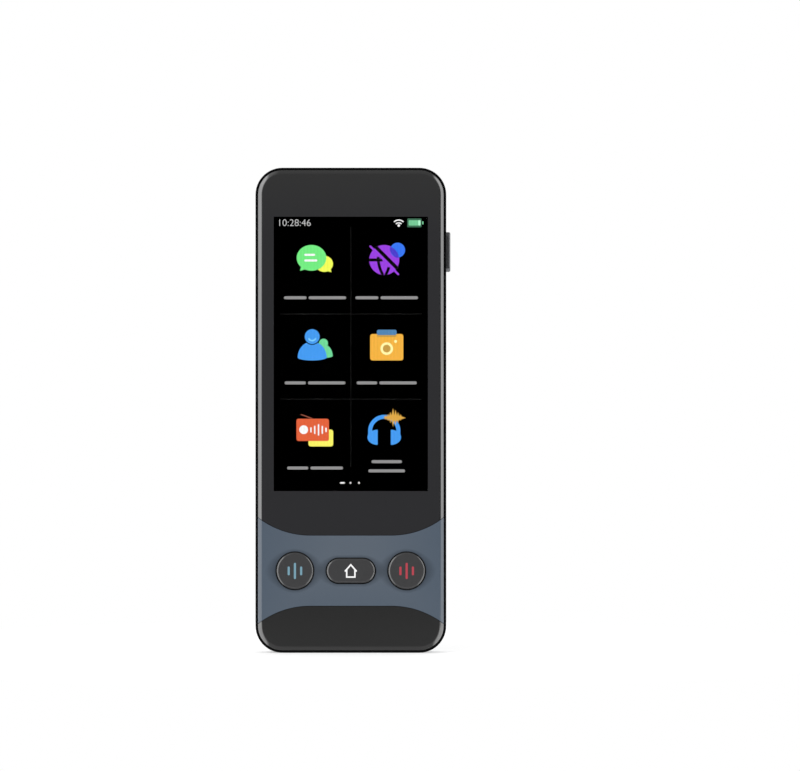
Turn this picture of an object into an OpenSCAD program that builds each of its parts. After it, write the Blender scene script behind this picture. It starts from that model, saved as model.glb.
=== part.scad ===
// Handheld voice translator: a slim bar with a screen, three keys under it, a side key,
// a camera and a speaker grille on the back. It stands on its foot, its screen facing -Y.
//
// Every module below works in the body's lying frame: X across the face, Y along the length
// towards the top end, Z from the flat back (0) to the front face (body_t).
// stood_up() turns that frame upright, so the back plane is Y = 0 and the length runs along Z.

/* [Body] */
// Width across the face
body_w = 54; // [53.5:0.5:57]
// Length from the foot to the top end
body_l = 137.3; // [136:0.5:142]
// Thickness from the back to the front face
body_t = 12.5; // [12.3:0.1:13.5]
// Radius of the body's corners, seen from the front
corner_r = 7.6; // [6.6:0.2:8.4]
// Thickness of the front housing's side walls
wall_t = 1.6; // [1.3:0.1:1.8]
// Thickness of the deck that carries the face panels
deck_t = 1.0; // [0.8:0.1:1.2]
// Width of the housing's rim that shows round the face
rim_w = 0.55; // [0.4:0.05:0.8]
// Height by which the rim laps the face panels
rim_lap = 0.35; // [0.2:0.05:0.5]

/* [Face panels] */
// Thickness of the face panels
panel_t = 1.6; // [1.5:0.1:1.9]
// Radius of the rounding along the outer edge of the face
face_round = 1.3; // [0.8:0.1:1.4]
// Thickness of the tape behind the face panels
tape_t = 0.3; // [0.25:0.05:0.4]
// Thickness of the printed border film behind the lens
film_t = 0.15; // [0.1:0.05:0.2]
// Distance of the upper seam from the row of keys, on the centre line
upper_seam = 10.1; // [9:0.05:11]
// Distance of the lower seam from the row of keys, on the centre line
lower_seam = 10; // [9:0.05:11]
// Half width of the straight middle stretch of each seam
seam_flat = 11.5; // [9:0.5:13]
// Radius of the arc that carries each seam out to the sides
seam_r = 24; // [20:1:34]

/* [Screen] */
// Border from the body's side to the picture
screen_side = 5.2; // [5:0.1:6.5]
// Border from the top end to the picture
screen_top = 13.9; // [13.4:0.1:15.5]
// Border from the upper seam to the picture
screen_low = 12.45; // [11.5:0.05:15]
// Dark border of the display module beside and above the picture
display_edge = 1.5; // [1:0.1:1.6]
// Driver ledge of the display module below the picture
display_ledge = 4.5; // [3.5:0.5:5]
// Thickness of the display's glass sandwich
display_t = 1.3; // [1.2:0.1:1.5]
// Thickness of the backlight behind it
backlight_t = 0.95; // [0.85:0.05:1.05]
// Step from the glass's edge in to the backlight
backlight_in = 1.1; // [0.9:0.1:1.5]

/* [Keys] */
// Diameter of the two round talk keys
key_d = 10.5; // [9.5:0.25:11]
// Width of the home key
home_w = 13.8; // [12:0.2:15]
// Height of the home key
home_h = 7; // [6:0.25:8]
// Space between the home key and each talk key
key_between = 3.65; // [3.3:0.05:4.1]
// Height of the row of keys above the foot
key_height = 23.25; // [21.5:0.25:25]
// How far the keys stand out of the face
key_proud = 0.3; // [0.1:0.05:0.5]
// How far a key travels
key_travel = 0.4; // [0.3:0.05:0.45]
// Radius of the rounding round the top of each key
key_round = 0.6; // [0.3:0.1:0.8]
// Width of the flange that keeps each key behind the fascia
key_flange = 0.9; // [0.7:0.1:1]
// Thickness of that flange
flange_t = 0.5; // [0.4:0.05:0.6]

/* [Side key] */
// Length of the power key
power_l = 11.3; // [10:0.5:13]
// Width of the power key across the body's thickness
power_w = 2.8; // [2.4:0.1:3.2]
// How far the power key stands out of the side
power_proud = 1.2; // [0.7:0.1:1.3]
// Radius of the rounding round the power key's outer face
power_round = 0.4; // [0.2:0.1:0.8]
// Distance of the power key's middle from the top end
power_top = 23.75; // [22.5:0.25:25]

/* [Back] */
// Thickness of the back cover
cover_t = 1.2; // [1:0.1:1.4]
// Step from the body's outline in to the cover's edge
cover_inset = 1.8; // [1.4:0.1:2.2]
// Depth from the flat back to the cover's edge
cover_drop = 1.6; // [1.4:0.1:1.8]
// Width of the curve along each long side of the cover
cover_curve = 5.4; // [4.5:0.3:6]
// Radius of the cover's short edges
cover_edge_r = 0.8; // [0.5:0.1:1]
// Height of the bright frame between cover and housing
frame_h = 3; // [2.8:0.1:3.2]
// Width of the frame's rail, from the outline inwards
frame_rail = 3.8; // [3.4:0.1:4.2]

/* [Camera] */
// Width of the camera bezel
cam_w = 18.9; // [18:0.3:20.4]
// Height of the camera bezel
cam_h = 16.6; // [15.8:0.2:18]
// Corner radius of the camera bezel
cam_r = 2.8; // [2.6:0.1:3.4]
// Distance of the camera's middle from the top end
cam_top = 15.55; // [15.3:0.25:16.3]
// Width of the bezel's bright rim
cam_rim = 0.6; // [0.4:0.1:0.7]
// Width of the slope from the rim down to the window
cam_slope = 1; // [0.7:0.1:1.2]
// Depth of the window below the back plane
cam_depth = 1.3; // [1:0.1:1.4]
// Thickness of the camera window
cam_glass_t = 0.6; // [0.5:0.1:0.7]
// Diameter of the camera's lens barrel
barrel_d = 6.2; // [5.6:0.2:7]
// Width of the camera's square body
camera_w = 8.8; // [8:0.2:9.6]

/* [Speaker] */
// Diameter of the grille holes
grille_d = 1.2; // [1:0.1:1.5]
// Width of the slope round the mouth of each grille hole
grille_dish = 0.35; // [0.2:0.05:0.5]
// Pitch of the grille holes
grille_pitch = 2.93; // [2.7:0.05:3]
// Holes in the grille's widest row
grille_widest = 11; // [9:2:11]
// Holes in the grille's shortest rows
grille_shortest = 5; // [3:2:5]
// Height of the grille's middle above the foot
grille_height = 24.25; // [23.75:0.25:25]
// Width of the speaker
speaker_w = 35; // [34.6:0.2:36]
// Height of the speaker
speaker_l = 20.4; // [20:0.2:21]
// Thickness of the foam gasket between speaker and cover
gasket_t = 0.5; // [0.4:0.1:0.7]
// Width of the foam gasket's ring
gasket_w = 1.2; // [1:0.1:1.4]
// Diameter of the speaker's magnet
magnet_d = 10; // [9:0.5:12]

/* [USB-C port] */
// Outer width of the port's shell
port_w = 8.94; // [8.9:0.02:9]
// Outer height of the port's shell
port_h = 3.2; // [3.16:0.02:3.26]
// Length of the port's shell
port_l = 7.3; // [6.9:0.1:7.6]
// Sheet thickness of the port's shell
port_wall = 0.3; // [0.25:0.01:0.32]
// Width of the port's tongue
tongue_w = 6.69; // [6.6:0.01:6.7]
// Thickness of the port's tongue
tongue_t = 0.7; // [0.66:0.02:0.74]
// Length of the port's tongue
tongue_l = 4.45; // [4.2:0.05:4.5]

/* [Inside] */
// Room between each side wall and the battery
battery_side = 8.4; // [8.4:0.1:10]
// Room between the battery and the main board
battery_end = 2; // [1.8:0.1:4]
// Room between the battery and the back cover
battery_back = 1.1; // [0.9:0.1:2]
// Thickness of the circuit boards
board_t = 0.8; // [0.6:0.1:0.9]
// Room beside the main board
main_board_side = 0.85; // [0.7:0.05:1.5]
// Length of the main board
main_board_l = 30.6; // [28:0.2:34]
// Room between each side wall and the sub board
sub_board_side = 5.9; // [5.6:0.1:7]
// Room between each side wall and the key board
key_board_side = 5.4; // [5.2:0.1:6.4]
// Height of the key board
key_board_l = 18; // [16.4:0.2:19.6]
// Thickness of the chassis plate
plate_t = 0.6; // [0.5:0.05:0.7]
// Height of the chassis plate's standoffs
standoff_h = 0.5; // [0.4:0.1:0.6]
// Height of the posts that carry the key board
key_post_h = 1.4; // [1.3:0.1:1.5]
// Diameter of the screw posts
post_d = 3.6; // [3.2:0.1:3.8]
// Diameter of the small posts
small_post_d = 3; // [2.8:0.1:3.2]
// Diameter of the screws
screw_d = 1.4; // [1.2:0.1:1.6]
// Diameter of the screw heads
screw_head_d = 2.6; // [2.4:0.1:2.8]
// Thickness of the screw heads
screw_head_t = 0.7; // [0.5:0.1:0.8]
// Width of the flex circuits
flex_w = 2.6; // [2:0.2:2.8]
// Thickness of the flex circuits
flex_t = 0.15; // [0.1:0.05:0.2]

/* [Fits] */
// Gap between neighbouring face panels
seam_gap = 0.12; // [0.08:0.02:0.2]
// Gap between the face panels and the rim
face_gap = 0.1; // [0.05:0.05:0.2]
// Gap round each key in its hole
key_gap = 0.25; // [0.15:0.05:0.3]
// Slack of a piece held loosely in its pocket
pocket_gap = 0.3; // [0.2:0.05:0.4]
// Slack of a piece that is pressed or glued in place
snug_gap = 0.1; // [0.05:0.01:0.12]
// Slack of a screw or plunger in its hole, on the radius
hole_gap = 0.05; // [0.04:0.01:0.1]

/* [Hidden] */
$fn = 72;

eps = 0.01;

// Ends and heights along the length
top_y = body_l / 2;
foot_y = -body_l / 2;
key_y = foot_y + key_height;
upper_seam_y = key_y + upper_seam;
lower_seam_y = key_y - lower_seam;
screen_w = body_w - 2 * screen_side;
screen_l = top_y - screen_top - screen_low - upper_seam_y;
screen_y = top_y - screen_top - screen_l / 2;
key_spread = home_w / 2 + key_between + key_d / 2;
camera_y = top_y - cam_top;
grille_y = foot_y + grille_height;
power_y = top_y - power_top;

// Levels through the thickness
panel_back = body_t - panel_t;
deck_front = panel_back - tape_t;
deck_back = deck_front - deck_t;
rim_z = panel_back + rim_lap;
frame_front = cover_drop + frame_h;
display_front = panel_back - film_t;
display_back = display_front - display_t;
plate_front = display_back - backlight_t;
plate_back = plate_front - plate_t;
board_front = plate_back - standoff_h;
board_back = board_front - board_t;
key_board_front = deck_back - key_post_h;
key_board_back = key_board_front - board_t;
wall_mid = (frame_front + deck_back) / 2;
sub_board_front = wall_mid - port_h / 2;
sub_board_back = sub_board_front - board_t;

// Outlines
wall_x = body_w / 2 - wall_t;
wall_y = body_l / 2 - wall_t;
rail_x = body_w / 2 - frame_rail;
rail_y = body_l / 2 - frame_rail;
face_inset = rim_w + face_gap;
cover_w = body_w - 2 * cover_inset;
cover_l = body_l - 2 * cover_inset;
cover_flat = cover_w / 2 - cover_curve;
cover_curve_r = (pow(cover_curve, 2) + pow(cover_drop, 2)) / (2 * cover_drop);
frame_curve_r = (pow(cover_inset, 2) + pow(frame_h, 2)) / (2 * cover_inset);

// Joint between the frame and the front housing
groove_w = 1;
groove_d = 0.9;
groove_in = wall_t - groove_w;

// Snap hooks of the back cover
hook_w = 6;
hook_t = 0.9;
hook_h = 2.3;
barb_t = 0.5;
barb_h = 0.5;
hook_end = 19.2;
hook_count = 4;
hook_pitch = (body_l - 2 * hook_end) / (hook_count - 1);
hook_ys = [for (i = [0 : hook_count - 1]) foot_y + hook_end + i * hook_pitch];

// Screw places
corner_post_in = corner_r - 1.5;
corner_post_x = body_w / 2 - corner_post_in;
corner_post_y = body_l / 2 - corner_post_in;
waist_post_x = rail_x - post_d / 4;
waist_post_y = upper_seam_y + 0.75;
frame_posts = [
    for (sx = [-1, 1]) [sx * corner_post_x, corner_post_y],
    for (sx = [-1, 1]) [sx * corner_post_x, -corner_post_y],
    for (sx = [-1, 1]) [sx * waist_post_x, waist_post_y]
];
ear_t = 1.4;
ear_back = frame_front - ear_t;
frame_screw_l = 4.4;
pilot_spare = 0.5;

// Display module and the chassis plate behind it
display_w = screen_w + 2 * display_edge;
display_l = screen_l + display_edge + display_ledge;
display_y = screen_y + (display_edge - display_ledge) / 2;
display_hole_w = display_w + 2 * pocket_gap;
display_hole_l = display_l + 2 * pocket_gap;
display_low = display_y - display_hole_l / 2;
display_high = display_y + display_hole_l / 2;
chassis_screw_x = 12;
chassis_screws_at = [
    for (sx = [-1, 1]) [sx * chassis_screw_x, display_high + small_post_d / 2 + eps],
    for (sx = [-1, 1]) [sx * chassis_screw_x, display_low - small_post_d / 2 - eps]
];
plate_edge = 0.5;
plate_w = 2 * (wall_x - plate_edge);
plate_low = waist_post_y + post_d / 2 + pocket_gap;
plate_high = chassis_screws_at[0][1] + small_post_d / 2;
plate_slot_w = 16;
plate_slot_l = 1.2;

// Keys: each hangs behind the fascia by its flange
key_top = body_t + key_proud;
flange_front = panel_back - snug_gap;
flange_back = flange_front - flange_t;
key_stem_d = 4;
key_stem_h = 0.5;
plunger_top = flange_back - key_stem_h;
plunger_d = 2;
plunger_h = 1;
switch_w = 5.2;
switch_h = plunger_top - key_travel - key_board_front - snug_gap;
key_post_x = 9;
key_post_step = key_board_l / 2 - 1.8;
key_posts = [for (sx = [-1, 1], sy = [-1, 1]) [sx * key_post_x, key_y + sy * key_post_step]];
key_screw_l = 1.7;

// Side key, its switch and the tab that backs it
power_flange = 0.4;
power_flange_t = 0.7;
power_flange_x = wall_x - snug_gap - power_flange_t;
power_stem_l = 3;
power_stem_x = power_flange_x - 0.65;
power_plunger_l = 0.8;
power_plunger_x = power_stem_x - power_plunger_l;
power_plunger_d = 1.2;
power_switch_back = power_plunger_x - key_travel - snug_gap;
power_switch_front = power_stem_x - key_travel - snug_gap;
power_switch_l = 4.6;
power_switch_w = 2;
power_flex_t = 0.2;
power_flex_l = 15;
tab_x = power_switch_back - power_flex_t - plate_t;
tab_l = 9;
tab_drop = 2.2;

// Boards
board_top = wall_y - 1;
main_board_y = board_top - main_board_l / 2;
main_board_low = board_top - main_board_l;
main_board_w = 2 * (tab_x - main_board_side);
board_screw_in = 3.2;
board_screw_x = main_board_w / 2 - board_screw_in;
board_screws_at = [
    for (sx = [-1, 1]) [sx * board_screw_x, main_board_low + board_screw_in],
    for (sx = [-1, 1]) [sx * board_screw_x, plate_high - board_screw_in]
];
board_screw_l = board_t + standoff_h + 0.4;
sub_board_w = 2 * (wall_x - sub_board_side);
sub_board_low = -wall_y + 0.45;
sub_board_high = key_y + 6;
sub_board_y = (sub_board_low + sub_board_high) / 2;
sub_board_l = sub_board_high - sub_board_low;
sub_post_x = 14;
sub_post_in = 6.1;
sub_posts = [for (sx = [-1, 1]) [sx * sub_post_x, sub_board_low + sub_post_in]];
sub_screw_l = 3.4;
key_board_w = 2 * (wall_x - key_board_side);
connector_w = 9;
connector_l = 2.4;
connector_in = 2;

// Shielding cans, side by side between the board's edge and the camera
shield_h = 1.5;
shield_wall = 0.2;
shield_in = 1.7;
shield_gap = 0.8;
camera_gap = 3.1;
processor_w = 17;
radio_w = 10.6;
shield_low = main_board_low + shield_in;
shield_high = camera_y - camera_w / 2 - camera_gap;
shield_l = shield_high - shield_low;
shield_start = -(processor_w + shield_gap + radio_w) / 2;

// Battery
battery_w = 2 * (wall_x - battery_side);
battery_low = chassis_screws_at[2][1] + screw_head_d / 2 + pocket_gap;
battery_high = main_board_low - battery_end;
battery_l = battery_high - battery_low;
battery_y = (battery_low + battery_high) / 2;
battery_tape_t = 0.2;
battery_tape_in = 4;
battery_front = plate_back - battery_tape_t;
battery_start = cover_t + battery_back;
battery_r = 2.2;
battery_edge_r = 1.6;
strip_w = 24;
strip_l = 1.2;
strip_h = 1.4;
leads_x = 5;
leads_w = 4;
leads_h = 0.8;

// Camera
cam_pocket_wall = 0.4;
cam_body_back = cam_depth + cam_glass_t;
cam_glass_w = cam_w - 2 * cam_rim - 2 * cam_pocket_wall;
cam_glass_h = cam_h - 2 * cam_rim - 2 * cam_pocket_wall;
cam_glass_r = cam_r - cam_rim - cam_pocket_wall;
camera_flex_l = 5;
camera_flex_w = 6;
cam_flange = 1.2;
cam_flange_t = 0.6;
cam_edge_r = 0.15;
barrel_start = cam_body_back + 0.2;
barrel_l = 1.8;
camera_start = barrel_start + barrel_l;

// Speaker
grille_side_rows = (grille_widest - grille_shortest) / 2;
speaker_start = cover_t + gasket_t;
speaker_end = sub_board_back - pocket_gap;
speaker_r = 4;
speaker_wall = 1;
cone_t = 0.25;
cone_rise = 0.5;
mesh_t = 0.12;

// Port, microphones
port_set_back = 0.3;
mic_x = 12;
mic_hole_d = 1;
mic_w = 3.5;
mic_l = 2.65;
mic_h = 1;

// Antenna
antenna_w = 3;
antenna_l = 24;

// ---------------------------------------------------------------- shared shapes

// Turns the lying frame upright
module stood_up() {
    rotate([90, 0, 0]) children();
}

// Solid between two levels from an outline
module slab(low, high) {
    translate([0, 0, low]) linear_extrude(high - low) children();
}

// Rectangle with round corners, centred
module round_rect(w, l, r) {
    square([w - 2 * r, l], center = true);
    square([w, l - 2 * r], center = true);
    for (sx = [-1, 1], sy = [-1, 1])
        translate([sx * (w / 2 - r), sy * (l / 2 - r)]) circle(r);
}

// Long rectangle with half-round ends, its long side along X
module pill(w, h) {
    square([w - h, h], center = true);
    for (sx = [-1, 1]) translate([sx * (w - h) / 2, 0]) circle(d = h);
}

// Solid whose outline is a rounded rectangle and whose edge follows the section given as a child:
// the section's X runs outwards over the corner radius and its Y is the level
module edge_swept(w, l, r, low, high) {
    translate([0, 0, (low + high) / 2]) cube([w - 2 * r, l - 2 * r, high - low], center = true);
    for (side = [0, 180]) rotate(side) {
        translate([w / 2 - r, l / 2 - r, 0]) rotate([90, 0, 0]) linear_extrude(l - 2 * r) children();
        rotate(90) translate([l / 2 - r, w / 2 - r, 0]) rotate([90, 0, 0]) linear_extrude(w - 2 * r) children();
        translate([w / 2 - r, l / 2 - r, 0]) rotate_extrude(angle = 90) children();
        translate([r - w / 2, l / 2 - r, 0]) rotate(90) rotate_extrude(angle = 90) children();
    }
}

// Section of a plate's edge with its outer corners rounded
module edge_section(r, low, high, low_r, high_r) {
    difference() {
        translate([0, low]) square([r, high - low]);
        if (high_r > 0) translate([r - high_r, high - high_r]) difference() {
            square(high_r + 1);
            circle(high_r);
        }
        if (low_r > 0) translate([r - low_r, low + low_r]) difference() {
            translate([0, -low_r - 1]) square(low_r + 1);
            circle(low_r);
        }
    }
}

// Rounded plate with rounded outer edges
module soft_plate(w, l, r, low, high, low_r, high_r) {
    edge_swept(w, l, r, low, high) edge_section(r, low, high, low_r, high_r);
}

// Outline of the body, taken in by an inset
module body_outline(inset) {
    round_rect(body_w - 2 * inset, body_l - 2 * inset, corner_r - inset);
}

// The same solids at a list of places
module at_places(places) {
    for (p = places) translate([p[0], p[1], 0]) children();
}

// Screw with its head towards the back, the head's seat at the given level
module screw(seat, length) {
    slab(seat - screw_head_t, seat) circle(d = screw_head_d);
    slab(seat - eps, seat + length) circle(d = screw_d);
}

// Hole that a screw passes or bites into
module screw_hole(low, high) {
    slab(low, high) circle(d = screw_d + 2 * hole_gap);
}

// ---------------------------------------------------------------- face outlines

// Area above the upper seam, grown by a margin: straight in the middle, then arcs that rise
module lens_area(grow) {
    translate([-seam_flat, upper_seam_y - grow]) square([2 * seam_flat, body_l]);
    for (sx = [-1, 1]) translate([sx * seam_flat, upper_seam_y + seam_r]) circle(seam_r + grow, $fn = 360);
    translate([-body_w, upper_seam_y + seam_r]) square([2 * body_w, body_l]);
}

// Area below the lower seam, grown by a margin: the upper seam's mirror image
module chin_area(grow) {
    translate([-seam_flat, lower_seam_y + grow - body_l]) square([2 * seam_flat, body_l]);
    for (sx = [-1, 1]) translate([sx * seam_flat, lower_seam_y - seam_r]) circle(seam_r + grow, $fn = 360);
    translate([-body_w, lower_seam_y - seam_r - body_l]) square([2 * body_w, body_l]);
}

// The whole face before it is parted by the seams, its outer edge rounded
module face_blank() {
    soft_plate(body_w - 2 * face_inset, body_l - 2 * face_inset, corner_r - face_inset,
        panel_back, body_t, 0, face_round);
}

// Outlines of the three keys, grown by a margin
module key_outline(sx, grow) {
    translate([sx * key_spread, key_y]) circle(d = key_d + 2 * grow);
}

module home_outline(grow) {
    translate([0, key_y]) pill(home_w + 2 * grow, home_h + 2 * grow);
}

module all_key_outlines(grow) {
    for (sx = [-1, 1]) key_outline(sx, grow);
    home_outline(grow);
}

// Face panel or tape between the two seams
module between_seams(inset) {
    difference() {
        body_outline(face_inset + inset);
        lens_area(seam_gap + inset);
        chin_area(seam_gap + inset);
    }
}

// ---------------------------------------------------------------- casing

// Section of the back cover across the body: flat in the middle, curved along the long sides
module cover_section(shrink, low, high) {
    translate([-cover_flat, low]) square([2 * cover_flat, high - low]);
    for (sx = [-1, 1]) intersection() {
        translate([sx * cover_flat, cover_curve_r]) circle(cover_curve_r - shrink, $fn = 180);
        translate([sx > 0 ? cover_flat - eps : -cover_w / 2, low - eps]) square([cover_curve + eps, high - low + eps]);
    }
}

module along_length(l) {
    translate([0, l / 2, 0]) rotate([90, 0, 0]) linear_extrude(l) children();
}

// The same solid at each place of the grille's diamond: each row away from the middle loses two
module at_grille_places() {
    for (row = [-grille_side_rows : grille_side_rows]) {
        count = grille_widest - 2 * abs(row);
        for (i = [0 : count - 1])
            translate([(i - (count - 1) / 2) * grille_pitch, grille_y + row * grille_pitch, 0]) children();
    }
}

// Grille hole: a straight bore with a slope round its mouth
module grille_hole() {
    slab(-1, cover_drop) circle(d = grille_d);
    translate([0, 0, -eps])
        cylinder(h = grille_dish + eps, d1 = grille_d + 2 * (grille_dish + eps), d2 = grille_d);
}

// Hooks that snap the cover into the frame's slots
module cover_hook() {
    stem_x = rail_x - snug_gap - hook_t;
    translate([stem_x, -hook_w / 2, cover_t - eps]) cube([hook_t, hook_w, hook_h + eps]);
    translate([stem_x + hook_t - eps, -hook_w / 2, cover_t + hook_h - barb_h])
        cube([barb_t + snug_gap + eps, hook_w, barb_h]);
}

module back_cover() {
    color("#2f2f31") stood_up() {
        difference() {
            intersection() {
                along_length(cover_l) cover_section(0, 0, cover_drop);
                soft_plate(cover_w, cover_l, corner_r - cover_inset, 0, cover_drop, cover_edge_r, 0);
            }
            along_length(2 * rail_y) cover_section(cover_t, cover_t, cover_drop + 1);
            at_grille_places() grille_hole();
            slab(-1, cover_drop) translate([0, camera_y])
                round_rect(cam_w + 2 * snug_gap, cam_h + 2 * snug_gap, cam_r + snug_gap);
        }
        for (y = hook_ys, side = [0, 180]) translate([0, y, 0]) rotate(side) cover_hook();
    }
}

// Section of the bright frame's edge: an arc from the cover's edge out to the full width
module frame_edge_section() {
    intersection() {
        translate([0, cover_drop]) square([corner_r, frame_h]);
        union() {
            translate([0, cover_drop]) square([corner_r - frame_curve_r, frame_h]);
            translate([corner_r - frame_curve_r, frame_front]) circle(frame_curve_r, $fn = 180);
        }
    }
}

module mid_frame() {
    color("#dcdde0") stood_up() difference() {
        union() {
            difference() {
                edge_swept(body_w, body_l, corner_r, cover_drop, frame_front) frame_edge_section();
                slab(cover_drop - 1, frame_front + 1) body_outline(frame_rail);
            }
            at_places(frame_posts) slab(ear_back, frame_front) circle(d = post_d + 0.6);
        }
        // groove for the housing's tongue
        slab(frame_front - groove_d, frame_front + 1) difference() {
            body_outline(groove_in);
            body_outline(groove_in + groove_w);
        }
        at_places(frame_posts) screw_hole(ear_back - 1, frame_front + 1);
        at_places(frame_posts) slab(cover_drop - 1, ear_back) circle(d = screw_head_d + 2 * snug_gap);
        // slots for the cover's barbs
        for (y = hook_ys, side = [0, 180]) translate([0, y, 0]) rotate(side)
            translate([rail_x - 1, -hook_w / 2 - snug_gap, cover_t + hook_h - barb_h - snug_gap])
                cube([1 + barb_t + 2 * snug_gap, hook_w + 2 * snug_gap, barb_h + 2 * snug_gap]);
    }
}

module front_housing() {
    color("#141415") stood_up() difference() {
        union() {
            difference() {
                soft_plate(body_w, body_l, corner_r, frame_front, rim_z, 0, rim_w / 2);
                slab(frame_front - 1, deck_back) body_outline(wall_t);
                slab(deck_front, body_t) body_outline(rim_w);
                slab(deck_back - 1, body_t) translate([0, display_y])
                    round_rect(display_hole_w, display_hole_l, 1);
                slab(deck_back - 1, body_t) all_key_outlines(key_flange + pocket_gap);
            }
            // tongue that keys into the frame's groove
            slab(frame_front - groove_d + snug_gap, frame_front + eps) difference() {
                body_outline(groove_in + snug_gap);
                body_outline(groove_in + groove_w - snug_gap);
            }
            at_places(frame_posts) slab(frame_front, deck_back + eps) circle(d = post_d);
            at_places(chassis_screws_at) slab(plate_front, deck_back + eps) circle(d = small_post_d);
            at_places(key_posts) slab(key_board_front, deck_back + eps) circle(d = small_post_d);
            at_places(sub_posts) slab(sub_board_front, deck_back + eps) circle(d = post_d);
        }
        at_places(frame_posts) screw_hole(frame_front - 1, ear_back + frame_screw_l + pilot_spare);
        at_places(chassis_screws_at) screw_hole(plate_front - 1, plate_back + key_screw_l + pilot_spare);
        at_places(key_posts) screw_hole(key_board_front - 1, key_board_back + key_screw_l + pilot_spare);
        at_places(sub_posts) screw_hole(sub_board_front - 1, sub_board_back + sub_screw_l + pilot_spare);
        // slot of the side key
        translate([wall_x - 1, power_y, wall_mid]) rotate([90, 0, 90])
            linear_extrude(wall_t + 2) pill(power_l + 2 * key_gap, power_w + 2 * key_gap);
        // mouth of the port
        translate([0, -wall_y + 1, wall_mid]) rotate([90, 0, 0])
            linear_extrude(wall_t + 2) pill(port_w + 2 * snug_gap, port_h + 2 * snug_gap);
        // pinholes of the microphones, one in each end
        translate([mic_x, -wall_y + 1, sub_board_front + mic_h]) rotate([90, 0, 0])
            cylinder(h = wall_t + 2, d = mic_hole_d);
        translate([mic_x, wall_y - 1, board_front + mic_h]) rotate([-90, 0, 0])
            cylinder(h = wall_t + 2, d = mic_hole_d);
    }
}

// ---------------------------------------------------------------- face

module cover_lens() {
    color("#343436") stood_up() intersection() {
        face_blank();
        slab(panel_back - 1, body_t + 1) lens_area(0);
    }
}

module lens_border() {
    color("#202022") stood_up() slab(display_front, panel_back) difference() {
        intersection() {
            body_outline(face_inset + pocket_gap);
            lens_area(-pocket_gap);
        }
        translate([0, screen_y]) square([screen_w, screen_l], center = true);
    }
}

module lens_tape() {
    color("#101010") stood_up() slab(deck_front, display_front) difference() {
        intersection() {
            body_outline(face_inset + pocket_gap);
            lens_area(-pocket_gap);
        }
        translate([0, display_y]) round_rect(display_hole_w, display_hole_l, 1);
    }
}

module button_fascia() {
    color("#5a6671") stood_up() difference() {
        face_blank();
        slab(panel_back - 1, body_t + 1) lens_area(seam_gap);
        slab(panel_back - 1, body_t + 1) chin_area(seam_gap);
        slab(panel_back - 1, body_t + 1) all_key_outlines(key_gap);
    }
}

module fascia_tape() {
    color("#101010") stood_up() slab(deck_front, panel_back) difference() {
        between_seams(pocket_gap);
        all_key_outlines(key_flange + pocket_gap);
    }
}

module chin_panel() {
    color("#303031") stood_up() intersection() {
        face_blank();
        slab(panel_back - 1, body_t + 1) chin_area(0);
    }
}

module chin_tape() {
    color("#101010") stood_up() slab(deck_front, panel_back) intersection() {
        body_outline(face_inset + pocket_gap);
        chin_area(-pocket_gap);
    }
}

// ---------------------------------------------------------------- display and chassis

module display_panel() {
    color("#050506") stood_up() slab(display_back, display_front)
        translate([0, display_y]) square([display_w, display_l], center = true);
}

// Bent steel tray that holds the light guide
module backlight() {
    color("#c9ccd0") stood_up() slab(plate_front, display_back)
        translate([0, display_y]) round_rect(display_w - 2 * backlight_in, display_l - 2 * backlight_in, 0.6);
}

// Ribbon from the display's ledge, through the chassis plate, to the key board
module display_flex() {
    bend_y = display_low - plate_slot_l / 2 + pocket_gap;
    end_y = key_y + key_board_l / 2 - 3;
    color("#b8742a") stood_up() {
        translate([-plate_slot_w / 2 + 1, bend_y, display_back])
            cube([plate_slot_w - 2, display_y - display_l / 2 - bend_y, flex_t]);
        translate([-plate_slot_w / 2 + 1, bend_y, key_board_back - flex_t])
            cube([plate_slot_w - 2, flex_t, display_back + 2 * flex_t - key_board_back]);
        translate([-plate_slot_w / 2 + 1, end_y, key_board_back - flex_t])
            cube([plate_slot_w - 2, bend_y + flex_t - end_y, flex_t]);
    }
}

// Pressed plate that stiffens the body and carries display, battery and main board
module chassis_plate() {
    color("#9ea2a6") stood_up() difference() {
        union() {
            slab(plate_back, plate_front) translate([0, (plate_low + plate_high) / 2])
                square([plate_w, plate_high - plate_low], center = true);
            at_places(board_screws_at) slab(board_front, plate_back + eps) circle(d = small_post_d);
        }
        at_places(chassis_screws_at) screw_hole(plate_back - 1, plate_front + 1);
        at_places(board_screws_at) screw_hole(board_front - 1, board_back + board_screw_l + pilot_spare);
        at_places(frame_posts) slab(plate_back - 1, plate_front + 1) circle(d = post_d + 2 * pocket_gap);
        slab(plate_back - 1, plate_front + 1) translate([0, display_low - plate_slot_l / 2 + pocket_gap])
            square([plate_slot_w, plate_slot_l], center = true);
        // notch for the side key and its switch
        slab(plate_back - 1, plate_front + 1) translate([tab_x + plate_t, power_y - power_l / 2 - 3])
            square([plate_w, power_l + 6]);
    }
    // tab bent back to hold the side key's switch
    color("#9ea2a6") stood_up() translate([tab_x, power_y - tab_l / 2, plate_back - tab_drop])
        cube([plate_t, tab_l, tab_drop + eps]);
}

module chassis_screws() {
    color("#6f7275") stood_up() at_places(chassis_screws_at) screw(plate_back, key_screw_l);
}

module frame_screws() {
    color("#6f7275") stood_up() at_places(frame_posts) screw(ear_back, frame_screw_l);
}

// ---------------------------------------------------------------- keys

// Round key: cap with a rounded top, flange behind the fascia, stem to the switch
module talk_key(sx) {
    color("#434445") stood_up() translate([sx * key_spread, key_y, 0]) rotate_extrude() {
        edge_section(key_d / 2, flange_back, key_top, 0, key_round);
        translate([0, flange_back]) square([key_d / 2 + key_flange, flange_t]);
        translate([0, plunger_top]) square([key_stem_d / 2, key_stem_h + eps]);
    }
}

module talk_key_left() {
    talk_key(-1);
}

module talk_key_right() {
    talk_key(1);
}

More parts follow.
